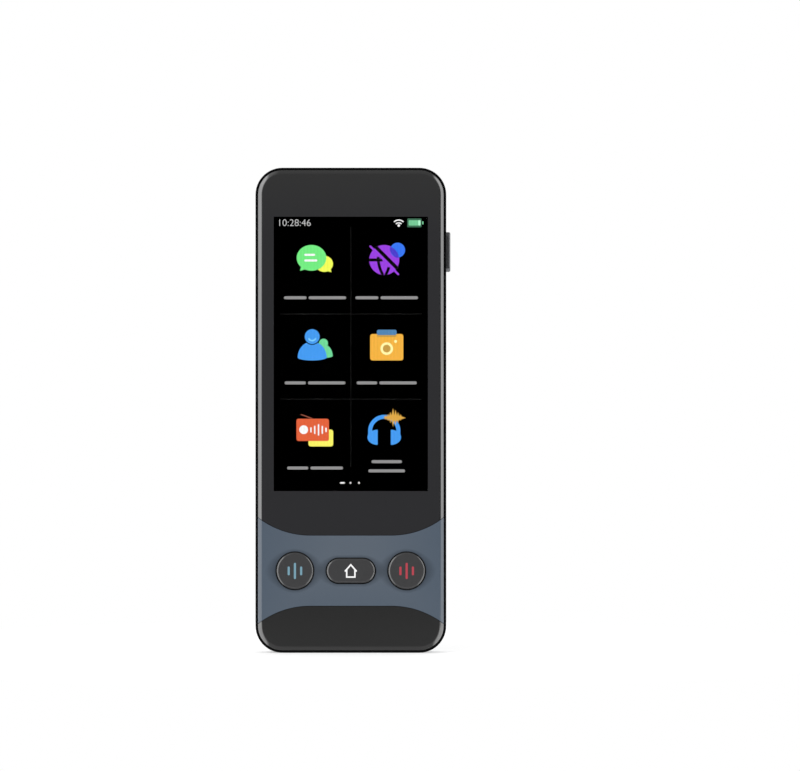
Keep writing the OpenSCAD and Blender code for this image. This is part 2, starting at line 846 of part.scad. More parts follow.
// Pill-shaped cap with a rounded top edge
module pill_cap(w, h, low, high, rounding) {
    for (side = [0, 180]) rotate(side) {
        translate([(w - h) / 2, 0, 0]) rotate(-90) rotate_extrude(angle = 180)
            edge_section(h / 2, low, high, 0, rounding);
        rotate([90, 0, 90]) translate([0, 0, (h - w) / 2]) linear_extrude(w - h)
            edge_section(h / 2, low, high, 0, rounding);
    }
}

module home_key() {
    color("#434445") stood_up() {
        translate([0, key_y, 0]) pill_cap(home_w, home_h, flange_back, key_top, key_round);
        slab(flange_back, flange_front) home_outline(key_flange);
        slab(plunger_top, flange_back + eps) translate([0, key_y]) circle(d = key_stem_d);
    }
}

// Plunger of a key's switch
module key_plunger(x) {
    color("#d8d3c4") stood_up() translate([x, key_y, 0])
        slab(plunger_top - plunger_h, plunger_top) circle(d = plunger_d);
}

module talk_left_plunger() {
    key_plunger(-key_spread);
}

module home_plunger() {
    key_plunger(0);
}

module talk_right_plunger() {
    key_plunger(key_spread);
}

// Bodies of the three switches under the keys
module key_switches() {
    color("#232426") stood_up() for (x = [-key_spread, 0, key_spread]) translate([x, key_y, 0]) difference() {
        slab(key_board_front, key_board_front + switch_h) round_rect(switch_w, switch_w, 0.6);
        slab(plunger_top - plunger_h - key_travel - snug_gap, body_t) circle(d = plunger_d + 2 * hole_gap);
    }
}

module key_board() {
    color("#1f4d3a") stood_up() difference() {
        slab(key_board_back, key_board_front) translate([0, key_y]) round_rect(key_board_w, key_board_l, 1);
        at_places(key_posts) screw_hole(key_board_back - 1, key_board_front + 1);
    }
}

module key_board_screws() {
    color("#6f7275") stood_up() at_places(key_posts) screw(key_board_back, key_screw_l);
}

// Bar key in the right side wall, kept in by its inner flange
module power_key() {
    color("#38393b") stood_up() translate([0, power_y, wall_mid]) rotate([90, 0, 90]) {
        pill_cap(power_l, power_w, power_flange_x, body_w / 2 + power_proud, power_round);
        slab(power_flange_x, power_flange_x + power_flange_t)
            pill(power_l + 2 * power_flange, power_w + 2 * power_flange);
        slab(power_stem_x, power_flange_x + eps) square([power_stem_l, power_switch_w], center = true);
    }
}

module power_plunger() {
    color("#d8d3c4") stood_up() translate([0, power_y, wall_mid]) rotate([90, 0, 90])
        slab(power_plunger_x, power_stem_x) circle(d = power_plunger_d);
}

module power_switch() {
    color("#232426") stood_up() translate([0, power_y, wall_mid]) rotate([90, 0, 90]) difference() {
        slab(power_switch_back, power_switch_front) square([power_switch_l, power_switch_w], center = true);
        slab(power_plunger_x - key_travel - snug_gap / 2, body_w) circle(d = power_plunger_d + 2 * hole_gap);
    }
}

// Flex on the tab that carries the side switch, with a tail onto the main board
module power_flex() {
    tail_y = power_y - power_flex_l / 2;
    tail_x = board_screw_x + screw_head_d / 2 + pocket_gap;
    color("#b8742a") stood_up() {
        translate([power_switch_back - power_flex_t, tail_y, wall_mid - power_switch_w / 2])
            cube([power_flex_t, power_flex_l, power_switch_w]);
        translate([tail_x, tail_y, board_back - power_flex_t])
            cube([power_switch_back - tail_x, flex_w, power_flex_t]);
    }
}

// ---------------------------------------------------------------- boards

module main_board() {
    color("#1f4d3a") stood_up() difference() {
        slab(board_back, board_front) translate([0, main_board_y]) round_rect(main_board_w, main_board_l, 1);
        at_places(board_screws_at) screw_hole(board_back - 1, board_front + 1);
        at_places(frame_posts) slab(board_back - 1, board_front + 1) circle(d = post_d + 2 * pocket_gap);
        at_places(chassis_screws_at) slab(board_back - 1, board_front + 1) circle(d = screw_head_d + 2 * pocket_gap);
    }
}

module shield_can(x, w) {
    color("#b9bcc0") stood_up() translate([x + w / 2, (shield_low + shield_high) / 2, 0]) difference() {
        slab(board_back - shield_h, board_back) round_rect(w, shield_l, 0.5);
        slab(board_back - shield_h + shield_wall, board_back + 1)
            round_rect(w - 2 * shield_wall, shield_l - 2 * shield_wall, 0.3);
    }
}

module processor_shield() {
    shield_can(shield_start, processor_w);
}

module radio_shield() {
    shield_can(shield_start + processor_w + shield_gap, radio_w);
}

module board_screws() {
    color("#6f7275") stood_up() at_places(board_screws_at) screw(board_back, board_screw_l);
}

module sub_board() {
    color("#1f4d3a") stood_up() difference() {
        slab(sub_board_back, sub_board_front) translate([0, sub_board_y]) round_rect(sub_board_w, sub_board_l, 1);
        at_places(sub_posts) screw_hole(sub_board_back - 1, sub_board_front + 1);
        at_places(frame_posts) slab(sub_board_back - 1, sub_board_front + 1) circle(d = post_d + 2 * pocket_gap);
    }
}

module sub_board_screws() {
    color("#6f7275") stood_up() at_places(sub_posts) screw(sub_board_back, sub_screw_l);
}

// Ribbon beside the battery that joins the main board to the sub board
module board_flex() {
    x = -battery_w / 2 - pocket_gap - flex_w;
    start_y = main_board_low + board_screw_in - screw_head_d / 2 - pocket_gap;
    step_y = sub_board_high + 1;
    color("#b8742a") stood_up() {
        translate([x, step_y, board_back - flex_t]) cube([flex_w, start_y - step_y, flex_t]);
        translate([x, step_y, sub_board_front]) cube([flex_w, flex_t, board_back - sub_board_front]);
        translate([x, sub_board_high - 3, sub_board_front]) cube([flex_w, step_y + flex_t - sub_board_high + 3, flex_t]);
    }
}

// Stacking connector between the sub board and the key board
module board_connector() {
    color("#e6e0cf") stood_up() slab(sub_board_front, key_board_back)
        translate([0, key_y - key_board_l / 2 + connector_in + connector_l / 2])
            square([connector_w, connector_l], center = true);
}

module usb_c_shell() {
    color("#c4c7cb") stood_up() translate([0, foot_y + port_set_back, wall_mid]) rotate([-90, 0, 0]) difference() {
        slab(0, port_l) pill(port_w, port_h);
        slab(-1, port_l - port_wall) pill(port_w - 2 * port_wall, port_h - 2 * port_wall);
    }
}

// Insulator at the back of the port and the contact tongue that stands out of it
module usb_c_tongue() {
    base_end = port_l - port_wall;
    base_start = base_end - 1.5;
    color("#17181a") stood_up() translate([0, foot_y + port_set_back, wall_mid]) rotate([-90, 0, 0]) {
        slab(base_start, base_end) pill(port_w - 2 * port_wall, port_h - 2 * port_wall);
        slab(base_start - tongue_l, base_start + eps) square([tongue_w, tongue_t], center = true);
    }
}

// One microphone in each end: the lower on the sub board, the upper on the main board
module microphones() {
    color("#c9b27a") stood_up() {
        translate([mic_x - mic_w / 2, sub_board_low + 0.4, sub_board_front]) cube([mic_w, mic_l, mic_h]);
        translate([mic_x - mic_w / 2, board_top - 0.4 - mic_l, board_front]) cube([mic_w, mic_l, mic_h]);
    }
}

// Printed antenna on the inside of the cover, beside the main board
module wifi_antenna() {
    color("#b8742a") stood_up() slab(cover_t, cover_t + flex_t)
        translate([antenna_w / 2 + 0.2 - cover_flat, main_board_y]) difference() {
            square([antenna_w, antenna_l], center = true);
            translate([0.2 * antenna_w, -2]) square([0.2 * antenna_w, antenna_l - 6], center = true);
        }
}

// ---------------------------------------------------------------- battery

// Pouch cell: flat faces with half-round long sides
module battery_cell() {
    color("#4d5054") stood_up() translate([0, battery_y, 0])
        soft_plate(battery_w, battery_l, battery_r, battery_start, battery_front, battery_edge_r, battery_edge_r);
}

module battery_tape() {
    color("#e8e8e8") stood_up() slab(battery_front, plate_back)
        translate([0, battery_y])
            square([battery_w - 2 * battery_tape_in, battery_l - 2 * battery_tape_in], center = true);
}

// Protection strip on the cell's top edge, with its leads onto the main board
module battery_leads() {
    color("#c23b30") stood_up() {
        translate([-strip_w / 2, battery_high, board_back - strip_h]) cube([strip_w, strip_l, strip_h]);
        translate([leads_x - leads_w / 2, battery_high + strip_l - eps, board_back - leads_h])
            cube([leads_w, battery_end - strip_l + shield_in - pocket_gap, leads_h]);
    }
}

// ---------------------------------------------------------------- speaker

module speaker_frame() {
    color("#1b1c1e") stood_up() translate([0, grille_y, 0]) difference() {
        slab(speaker_start, speaker_end) round_rect(speaker_w, speaker_l, speaker_r);
        slab(speaker_start - 1, speaker_end - speaker_wall)
            round_rect(speaker_w - 2 * speaker_wall, speaker_l - 2 * speaker_wall, speaker_r - speaker_wall);
    }
}

// Cone: a thin racetrack sheet raised in the middle
module speaker_cone() {
    w = speaker_w - 2 * speaker_wall;
    l = speaker_l - 2 * speaker_wall;
    r = speaker_r - speaker_wall;
    color("#6a6d70") stood_up() translate([0, grille_y, 0]) {
        slab(speaker_start + cone_rise, speaker_start + cone_rise + cone_t) round_rect(w, l, r);
        slab(speaker_start + cone_rise - 0.2, speaker_start + cone_rise + eps) round_rect(w - 8, l - 8, r - 1);
    }
}

module speaker_magnet() {
    color("#a9acb0") stood_up() translate([0, grille_y, 0])
        slab(speaker_start + cone_rise + cone_t + 0.3, speaker_end - speaker_wall) circle(d = magnet_d);
}

module speaker_gasket() {
    color("#17181a") stood_up() slab(cover_t, speaker_start) translate([0, grille_y]) difference() {
        round_rect(speaker_w, speaker_l, speaker_r);
        round_rect(speaker_w - 2 * gasket_w, speaker_l - 2 * gasket_w, speaker_r - gasket_w);
    }
}

// Woven dust mesh behind the grille, inside the gasket
module speaker_mesh() {
    margin = gasket_w + snug_gap;
    color("#0c0c0d") stood_up() slab(cover_t, cover_t + mesh_t) translate([0, grille_y])
        round_rect(speaker_w - 2 * margin, speaker_l - 2 * margin, speaker_r - margin);
}

// ---------------------------------------------------------------- camera

// Bezel glued in from inside: bright rim, sloping walls, pocket for the window
module camera_bezel() {
    opening_r = cam_r - cam_rim;
    color("#8f9194") stood_up() translate([0, camera_y, 0]) difference() {
        union() {
            soft_plate(cam_w, cam_h, cam_r, 0, cam_body_back + 0.3, cam_edge_r, 0);
            slab(cover_t, cover_t + cam_flange_t)
                round_rect(cam_w + 2 * cam_flange, cam_h + 2 * cam_flange, cam_r + cam_flange);
        }
        edge_swept(cam_w - 2 * cam_rim, cam_h - 2 * cam_rim, opening_r, -eps, cam_depth + eps)
            polygon([[0, -eps], [opening_r, -eps], [opening_r, 0.1],
                [opening_r - cam_slope, cam_depth + eps], [0, cam_depth + eps]]);
        slab(cam_depth, cam_body_back + 1)
            round_rect(cam_glass_w + 2 * snug_gap, cam_glass_h + 2 * snug_gap, cam_glass_r + snug_gap);
    }
}

module camera_window() {
    color("#0d0d0e") stood_up() slab(cam_depth, cam_body_back) translate([0, camera_y])
        round_rect(cam_glass_w, cam_glass_h, cam_glass_r);
}

// Stepped barrel with the lens opening at its front
module camera_barrel() {
    color("#1a1b1d") stood_up() translate([0, camera_y, 0]) rotate_extrude() difference() {
        translate([0, barrel_start]) square([barrel_d / 2, barrel_l]);
        polygon([[-1, barrel_start - 1], [barrel_d / 4 + 1, barrel_start - 1], [barrel_d / 8, barrel_start + 0.9],
            [-1, barrel_start + 0.9]]);
    }
}

module camera_base() {
    color("#2a2b2d") stood_up() slab(camera_start, board_back) translate([0, camera_y])
        round_rect(camera_w, camera_w, 0.8);
}

// Ribbon from the camera's base to its socket on the main board
module camera_flex() {
    color("#b8742a") stood_up() slab(board_back - flex_t, board_back)
        translate([camera_w / 2 + camera_flex_w / 2, camera_y]) square([camera_flex_w, camera_flex_l], center = true);
}

back_cover();
mid_frame();
front_housing();
cover_lens();
lens_border();
lens_tape();
button_fascia();
fascia_tape();
chin_panel();
chin_tape();
display_panel();
backlight();
display_flex();
chassis_plate();
chassis_screws();
frame_screws();
talk_key_left();
home_key();
talk_key_right();
talk_left_plunger();
home_plunger();
talk_right_plunger();
key_board();
key_switches();
key_board_screws();
power_key();
power_plunger();
power_switch();
power_flex();
main_board();
processor_shield();
radio_shield();
board_screws();
sub_board();
sub_board_screws();
board_flex();
board_connector();
usb_c_shell();
usb_c_tongue();
battery_cell();
battery_tape();
battery_leads();
speaker_frame();
speaker_cone();
speaker_magnet();
speaker_gasket();
speaker_mesh();
camera_bezel();
camera_window();
camera_base();
camera_barrel();
camera_flex();
microphones();
wifi_antenna();
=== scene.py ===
"""Handheld translator: finishes, keys, lit picture, camera lens, port contacts and studio."""

import math

import bmesh
import bpy
from mathutils import Matrix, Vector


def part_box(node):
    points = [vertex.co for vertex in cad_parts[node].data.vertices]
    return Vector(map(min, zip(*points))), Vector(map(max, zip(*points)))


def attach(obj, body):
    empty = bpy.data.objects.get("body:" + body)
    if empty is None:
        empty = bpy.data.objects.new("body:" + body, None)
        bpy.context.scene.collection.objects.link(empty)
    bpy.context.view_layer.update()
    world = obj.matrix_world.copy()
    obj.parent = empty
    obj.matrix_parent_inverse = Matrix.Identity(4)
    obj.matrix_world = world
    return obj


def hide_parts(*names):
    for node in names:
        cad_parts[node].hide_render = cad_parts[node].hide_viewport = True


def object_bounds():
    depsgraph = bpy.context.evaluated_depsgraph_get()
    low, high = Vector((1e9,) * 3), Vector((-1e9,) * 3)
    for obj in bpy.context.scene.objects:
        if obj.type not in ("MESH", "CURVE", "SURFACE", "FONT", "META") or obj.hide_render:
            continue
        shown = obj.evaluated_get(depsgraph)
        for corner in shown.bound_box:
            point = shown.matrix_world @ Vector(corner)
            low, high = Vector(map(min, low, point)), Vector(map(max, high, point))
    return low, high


bl_info = {
    "name": "Handheld translator",
    "version": (1, 0, 0),
    "blender": (4, 5, 0),
    "location": "View3D > Sidebar > Translator",
    "description": "Dresses the packed translator and builds its keys, picture, camera lens and studio",
    "category": "Object",
}

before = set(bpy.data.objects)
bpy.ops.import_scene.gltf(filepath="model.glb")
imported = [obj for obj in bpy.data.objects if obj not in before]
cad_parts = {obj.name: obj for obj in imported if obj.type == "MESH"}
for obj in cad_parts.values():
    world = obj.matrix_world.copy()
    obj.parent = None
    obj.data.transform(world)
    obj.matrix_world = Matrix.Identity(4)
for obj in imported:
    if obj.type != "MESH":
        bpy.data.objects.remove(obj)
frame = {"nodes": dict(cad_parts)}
CAD_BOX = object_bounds()

MM = 0.001
WHITE = (1.0, 1.0, 1.0)
STEM_OVERLAP = 0.1 * MM  # how far a key's stem reaches into its flange
FINISHED = {"FINISHED"}

# Colours of the picture on the screen. White is the home symbol's colour, which the user chooses.
PICTURE_COLOURS = {
    "green": "72e880",
    "yellow": "eef858",
    "purple": "9640dc",
    "blue": "3674ee",
    "violet": "4a3cc8",
    "shadow": "020202",
    "sky blue": "4498ec",
    "mint": "6ed596",
    "pale blue": "7ccaf8",
    "amber": "efb042",
    "dark amber": "c49a48",
    "slate": "4f82b0",
    "cream": "fff4a8",
    "orange": "de603a",
    "lemon": "f4ee64",
    "russet": "a8604a",
    "gold": "d8a444",
    "battery green": "3c6850",
    "pale mint": "74c694",
    "pale green": "a8ecc4",
    "pale grey": "c0c0c0",
    "grey": "8e8e8e",
    "faint grey": "080808",
}


# ---------- frame and settings


def paint(code):
    """Turns a six-digit screen colour into the linear red, green and blue that shaders take."""
    parts = [int(code[i : i + 2], 16) / 255 for i in (0, 2, 4)]
    return tuple(c / 12.92 if c <= 0.04045 else ((c + 0.055) / 1.055) ** 2.4 for c in parts)


def front_of(node):
    """Level of a node's front, measured from the flat back."""
    return -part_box(node)[0].y


def back_of(node):
    """Level of a node's back, measured from the flat back."""
    return -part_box(node)[1].y


def middle_of(node):
    """Middle of a node across the face and along the length."""
    low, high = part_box(node)
    return (low.x + high.x) / 2, (low.z + high.z) / 2


def half_size(node):
    """Half of a node's width and height, seen from the front."""
    low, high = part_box(node)
    return (high.x - low.x) / 2, (high.z - low.z) / 2


def hue(name, code, description):
    """A setting that holds a colour."""
    return bpy.props.FloatVectorProperty(
        name=name, description=description, default=paint(code), subtype="COLOR", size=3, min=0, max=1
    )


def span(name, millimetres, description):
    """A setting that holds a length."""
    default = millimetres * MM
    return bpy.props.FloatProperty(
        name=name, description=description, default=default, subtype="DISTANCE", unit="LENGTH", precision=5
    )


def amount(name, value, description):
    """A setting that holds a plain number."""
    return bpy.props.FloatProperty(name=name, description=description, default=value, min=0)


class CasingColours(bpy.types.PropertyGroup):
    """Colours of the casing, the face panels and the keys"""

    cover: hue("Back cover", "2b2b2d", "Matt plastic of the back cover")
    frame: hue("Frame", "d6d8db", "Satin silver of the frame round the back")
    housing: hue("Housing", "050506", "Matt black of the front housing")
    film_top: hue("Border, top", "363636", "Printed border behind the lens at the top end")
    film_low: hue("Border, low", "313133", "Printed border behind the lens at the upper seam")
    # The fascia's paler middle and darker sides are painted shade.
    fascia_middle: hue("Fascia, middle", "606a76", "Blue-grey of the key fascia on its centre line")
    fascia_side: hue("Fascia, sides", "566270", "Blue-grey of the key fascia at the sides")
    chin: hue("Chin", "2d2d2d", "Panel under the keys")
    keys: hue("Keys", "444445", "Caps of the three face keys")
    side_key: hue("Power key", "808184", "Metal-look cap of the power key")
    talk_left: hue("Left talk symbol", "759bab", "Lit bars of the left talk key")
    talk_right: hue("Right talk symbol", "b24450", "Lit bars of the right talk key")
    home: hue("Home symbol", "f4f4f4", "Lit outline of the home key, and white in the picture")


class KeySizes(bpy.types.PropertyGroup):
    """Shapes of the keys and of the symbols on them"""

    flange: span("Flange", 0.9, "Width of the flange behind the fascia")
    flange_depth: span("Flange thickness", 0.5, "Thickness of that flange")
    stem_depth: span("Stem length", 0.5, "Length of the stem behind the flange")
    stem: span("Stem width", 4.0, "Width of the stem to the switch")
    rim: span("Rim rounding", 0.6, "Rounding round the top of each face key")
    symbol_depth: span("Symbol thickness", 0.02, "How far a symbol stands out of its cap")
    bar: span("Bar width", 0.62, "Width of a talk symbol's bars")
    bar_step: span("Bar spacing", 1.76, "Distance between a talk symbol's bars")
    tall_bar: span("Tall bar", 4.6, "Height of the middle bar")
    short_bar: span("Short bar", 2.5, "Height of the outer bars")
    house_wide: span("House width", 3.5, "Width of the home symbol's roof")
    house_high: span("House height", 3.9, "Height of the home symbol")
    house_line: span("House line", 0.42, "Line width of the home symbol")
    side_flange: span("Power key flange", 0.4, "Width of the power key's inner flange")
    side_flange_depth: span("Power key flange thickness", 0.7, "Thickness of that flange")
    side_stem_depth: span("Power key stem", 0.65, "Length of the power key's stem")
    side_stem: span("Power key stem width", 3.0, "Width of the power key's stem")
    side_rim: span("Power key rounding", 0.5, "Rounding round the power key's outer face")


class PictureLayout(bpy.types.PropertyGroup):
    """Places and sizes of what the screen shows"""

    wide: span("Width", 43.6, "Width of the picture")
    high: span("Height", 77.6, "Height of the picture")
    ledge_shift: span("Shift", 1.5, "How far the picture stands above the display module's middle")
    column: span("Column", 10.15, "Distance of each column of symbols from the centre line")
    top_row: span("Top row", 26.7, "Height of the top row of symbols above the picture's middle")
    row_step: span("Row spacing", 24.1, "Distance between the rows of symbols")
    caption_drop: span("Caption drop", 10.8, "Distance of each caption below its symbol")
    caption_high: span("Caption height", 0.85, "Height of the caption bars")
    word_space: span("Word space", 0.6, "Gap between two caption bars")
    status_height: span("Status row", 37.0, "Height of the status row above the picture's middle")
    page_drop: span("Page marks", 36.5, "Distance of the page marks below the picture's middle")
    first_layer: span("First layer", 0.02, "Thickness of a symbol's lowest layer")
    layer_step: span("Layer step", 0.008, "How much each further layer is thicker")


class StudioSettings(bpy.types.PropertyGroup):
    """Camera, lamps and backdrop"""

    distance: span("Camera distance", 1200, "Distance from the camera to the face")
    view_wide: span("View width", 226.2, "Width that the camera sees at the face")
    view_x: span("View middle, across", 13.91, "How far the camera stands to the right of the body")
    view_z: span("View middle, height", 7.01, "How far the camera stands above the body's middle")
    floor_radius: span("Floor radius", 150, "Radius of the round floor")
    soft_light: amount("Soft light", 0.62, "Even light from all round")
    panel_light: amount("Panel light", 0.2, "Extra brightness of the front side panels in reflections")
    side_light: amount("Side light", 1.1, "Brightness of the pale sides in reflections")
    low_light: amount("Low light", 0.75, "Share of the side light that is left below the horizon")
    top_light: amount("Top light", 0.2, "Brightness of the ceiling in reflections")
    key_lamp: amount("Key lamp", 6.0, "Power of the lamp at the upper left in watts")
    fill_lamp: amount("Fill lamp", 3.0, "Power of the lamp at the right in watts")
    top_lamp: amount("Top lamp", 2.0, "Power of the lamp overhead in watts")


# ---------- shader building


def shade(colour, share):
    """The same colour, lighter or darker by a share."""
    return tuple(min(1.0, c * (1 + share)) for c in colour)


class Nodes:
    """Adds nodes to the tree of a material or of the world."""

    def __init__(self, tree):
        self.tree = tree

    def fill(self, socket, value):
        """Joins a node output to a socket, or sets the socket to a number, a vector or a colour."""
        if isinstance(value, bpy.types.NodeSocket):
            self.tree.links.new(value, socket)
        else:
            socket.default_value = (*value, 1) if socket.type == "RGBA" else value

    def add(self, kind, inputs=None, **settings):
        """Adds a node, sets its settings and fills its inputs."""
        made = self.tree.nodes.new("ShaderNode" + kind)
        for name, value in settings.items():
            setattr(made, name, value)
        for name, value in (inputs or {}).items():
            self.fill(made.inputs[name], value)
        return made

    def maths(self, operation, *values, **settings):
        """The result of one operation on numbers and node outputs."""
        return self.add("Math", dict(enumerate(values)), operation=operation, **settings).outputs[0]

    def ranged(self, value, low, high, from_low=0.0, from_high=1.0):
        """Maps a value from one range to another."""
        inputs = {"Value": value, "From Min": from_low, "From Max": from_high, "To Min": low, "To Max": high}
        return self.add("MapRange", inputs).outputs["Result"]


class Finish(Nodes):
    """A material, with its main shader and its Object coordinates at hand."""

    def __init__(self, name, colour, roughness, metallic=0.0, specular=0.5):
        self.material = bpy.data.materials.new(name)
        self.material.use_nodes = True
        super().__init__(self.material.node_tree)
        self.shader = self.tree.nodes["Principled BSDF"]
        self.place = self.add("TexCoord").outputs["Object"]
        self.feed(Base_Color=colour, Roughness=roughness, Metallic=metallic, Specular_IOR_Level=specular)

    def feed(self, **sockets):
        """Fills the main shader's inputs."""
        for name, value in sockets.items():
            self.fill(self.shader.inputs[name.replace("_", " ")], value)

    def along(self, axis, place=None):
        """One coordinate of a place."""
        return self.add("SeparateXYZ", {"Vector": place or self.place}).outputs[axis]

    def noise(self, size, detail=2.0, place=None):
        """Noise whose features are about the given size."""
        inputs = {"Vector": place or self.place, "Scale": 1 / size, "Detail": detail}
        return self.add("TexNoise", inputs).outputs["Fac"]

    def bands(self, size, **settings):
        """Parallel waves, each about six times the given size."""
        return self.add("TexWave", {"Vector": self.place, "Scale": 0.05 / size}, **settings).outputs["Fac"]

    def tones(self, factor, first, second, start=0.0, end=1.0):
        """Blends from one colour to another as the factor rises."""
        ramp = self.add("ValToRGB", {"Fac": factor})
        for element, place, colour in zip(ramp.color_ramp.elements, (start, end), (first, second)):
            element.position = place
            element.color = (*colour, 1)
        return ramp.outputs["Color"]

    def mixed(self, share, first, second, **settings):
        """Mixes two colours."""
        return self.add("Mix", {0: share, 6: first, 7: second}, data_type="RGBA", **settings).outputs[2]

    def relief(self, height, depth, strength=1.0):
        """Raises the surface by a height pattern."""
        bump = self.add("Bump", {"Height": height, "Distance": depth, "Strength": strength})
        self.feed(Normal=bump.outputs["Normal"])

    def fine_grain(self):
        self.relief(self.noise(0.1 * MM), 0.002 * MM)

    def faint_ripple(self):
        self.relief(self.noise(6 * MM), 0.002 * MM, 0.3)

    def towards_top(self):
        """Rises from zero to one over the top end of the face."""
        return self.ranged(self.along("Z"), 0, 1, 50 * MM, 68 * MM)

    def within(self, axis, middle, half):
        """One where a coordinate is within a distance of a middle, otherwise zero."""
        offset = self.maths("SUBTRACT", self.along(axis), middle)
        return self.maths("LESS_THAN", self.maths("ABSOLUTE", offset), half)

    def polish_edge(self, ior, ends=0.0):
        """Gives the rounded edges that face sideways a glossier, brighter coat than the flat.

        The coat fades out round the corners. ends is its share on the edges that face up and down.
        """
        facing = self.add("TexCoord").outputs["Normal"]
        sideways, upright = [self.maths("ABSOLUTE", self.along(axis, facing)) for axis in ("X", "Z")]
        turned = self.maths("MULTIPLY_ADD", upright, -0.6, sideways)
        long_edges = self.ranged(turned, 0, 1, 0.03, 0.16)
        short_edges = self.ranged(upright, 0, ends, 0.05, 0.2)
        coat = self.maths("MAXIMUM", long_edges, short_edges)
        self.feed(Coat_Weight=coat, Coat_IOR=ior, Coat_Roughness=0.15)

    def surface(self, output):
        """Joins a shader to the material's output and returns the material."""
        self.fill(self.tree.nodes["Material Output"].inputs["Surface"], output)
        return self.material

    def let_lamps_through(self, tint, clear=None):
        """Lets the lamps shine through a glass, where it is clear, and returns the material."""
        share = self.add("LightPath").outputs["Is Shadow Ray"]
        if clear:
            share = self.maths("MULTIPLY", share, clear)
        passed = self.add("BsdfTransparent", {"Color": tint}).outputs["BSDF"]
        mixed = self.add("MixShader", {0: share, 1: self.shader.outputs["BSDF"], 2: passed})
        return self.surface(mixed.outputs["Shader"])


# ---------- finishes


def moulded(
    name, colour, roughness, grain=0.12 * MM, depth=0.004 * MM,
    specular=0.5, metallic=0.0, tint=0.05, edge=None,
):
    """Plastic, rubber, foil or plain metal: fine grain, faint clouds of colour, uneven gloss.

    edge is the index of refraction of a bright coat on the rounded edges, where there is one.
    """
    made = Finish(name, colour, roughness, metallic, specular)
    made.feed(
        Base_Color=made.tones(made.noise(9 * MM, 3.0), shade(colour, -tint), shade(colour, tint), 0.3, 0.7),
        Roughness=made.ranged(made.noise(1.5 * MM), roughness - 0.04, roughness + 0.04),
    )
    made.relief(made.noise(grain), depth)
    if edge:
        made.polish_edge(edge)
    return made.material


def satin_metal(name, colour, roughness, stretch, metallic=1.0):
    """Brushed or blasted metal, its fine lines stretched along one axis."""
    made = Finish(name, colour, roughness, metallic)
    mapped = made.add("Mapping", {"Vector": made.place, "Scale": stretch}).outputs["Vector"]
    lines = made.noise(0.15 * MM, 3.0, mapped)
    made.feed(
        Base_Color=made.tones(lines, shade(colour, -0.04), shade(colour, 0.04), 0.3, 0.7),
        Roughness=made.ranged(lines, roughness - 0.05, roughness + 0.05),
    )
    made.relief(lines, 0.001 * MM)
    return made.material


def border_film(colours):
    """Printed film behind the lens, a little paler towards the top end."""
    made = Finish("Printed border film", colours.film_top, 0.6, specular=0.1)
    made.feed(Base_Color=made.tones(made.towards_top(), colours.film_low, colours.film_top))
    made.fine_grain()
    return made.material


def lens_glass(colours, layout):
    """Cover glass: clear over the picture, printed dark round it, with a bright polished edge."""
    made = Finish("Cover lens glass", WHITE, 0.06)
    across, height = middle_of("display_panel")
    wide = made.within("X", across, layout.wide / 2)
    high = made.within("Z", height + layout.ledge_shift, layout.high / 2)
    clear = made.maths("MULTIPLY", wide, high)
    printed = made.tones(made.towards_top(), colours.film_low, colours.film_top)
    made.feed(Base_Color=made.mixed(clear, printed, WHITE), Transmission_Weight=clear, IOR=1.25)
    made.polish_edge(2.75, ends=0.12)
    made.faint_ripple()
    return made.let_lamps_through(WHITE, clear)


def distance_to_key(made, across, height, node, flange):
    """Distance of a place on the face from a key's edge, with both sides of the face as one.

    Above and below the key it counts three times, because the painted shade round the key is wide only at the
    key's sides.
    """
    half_wide, half_high = half_size(node)
    key_x, key_z = middle_of(node)
    off_x = made.maths("ABSOLUTE", made.maths("SUBTRACT", across, abs(key_x)))
    off_x = made.maths("MAXIMUM", made.maths("SUBTRACT", off_x, half_wide - half_high), 0.0)
    off_z = made.maths("SUBTRACT", height, key_z)
    offset = made.add("CombineXYZ", {"X": off_x, "Y": off_z}).outputs[0]
    length = made.add("VectorMath", {0: offset}, operation="LENGTH").outputs["Value"]
    distance = made.maths("SUBTRACT", length, half_high - flange)
    upright = made.maths("DIVIDE", off_z, length)
    stretch = made.maths("MULTIPLY_ADD", made.maths("MULTIPLY", upright, upright), 2.0, 1.0)
    return made.maths("MULTIPLY", distance, stretch)


def fascia_paint(colours, sizes):
    """Satin blue-grey paint, with painted shade that makes it darker and bluer towards the sides and a touch
    darker round the keys.
    """
    made = Finish("Satin blue-grey paint", colours.fascia_middle, 0.25, specular=0.25)
    across = made.maths("ABSOLUTE", made.along("X"))
    height = made.along("Z")
    # Painted shade: the paint turns darker and bluer towards the sides.
    sides = made.ranged(across, 0, 1, 6 * MM, 26 * MM)
    low_part = made.ranged(height, 0.7, 0, -56 * MM, -46 * MM)
    share = made.maths("MAXIMUM", sides, low_part)
    colour = made.tones(share, colours.fascia_middle, colours.fascia_side)
    # Painted shade round the keys: darkest next to each key, fading out over a few millimetres.
    painted_shade_wide, dark, middling = 3.2 * MM, (0.46,) * 3, (0.64,) * 3
    for key in ("talk_key_right", "home_key"):
        distance = distance_to_key(made, across, height, key, sizes.flange)
        painted_shade = made.tones(made.ranged(distance, 0, 1, 0, painted_shade_wide), dark, WHITE, 0.03, 1.0)
        painted_shade.node.color_ramp.elements.new(0.22).color = (*middling, 1)
        colour = made.mixed(1.0, colour, painted_shade, blend_type="MULTIPLY")
    made.feed(Base_Color=colour)
    made.fine_grain()
    made.polish_edge(1.75)
    return made.material


def chin_plastic(colours):
    """Dark satin plastic with polished long edges."""
    made = Finish("Satin chin plastic", colours.chin, 0.2, specular=0.15)
    clouds = made.noise(9 * MM, 3.0)
    made.feed(Base_Color=made.tones(clouds, shade(colours.chin, -0.02), shade(colours.chin, 0.02)))
    made.fine_grain()
    made.polish_edge(2.6, ends=0.12)
    return made.material


def clear_glass(name, tint, ior):
    """Glass that bends what is seen through it and lets the lamps reach what is behind it."""
    made = Finish(name, tint, 0.02)
    made.feed(IOR=ior, Transmission_Weight=1.0)
    made.faint_ripple()
    return made.let_lamps_through(tint)


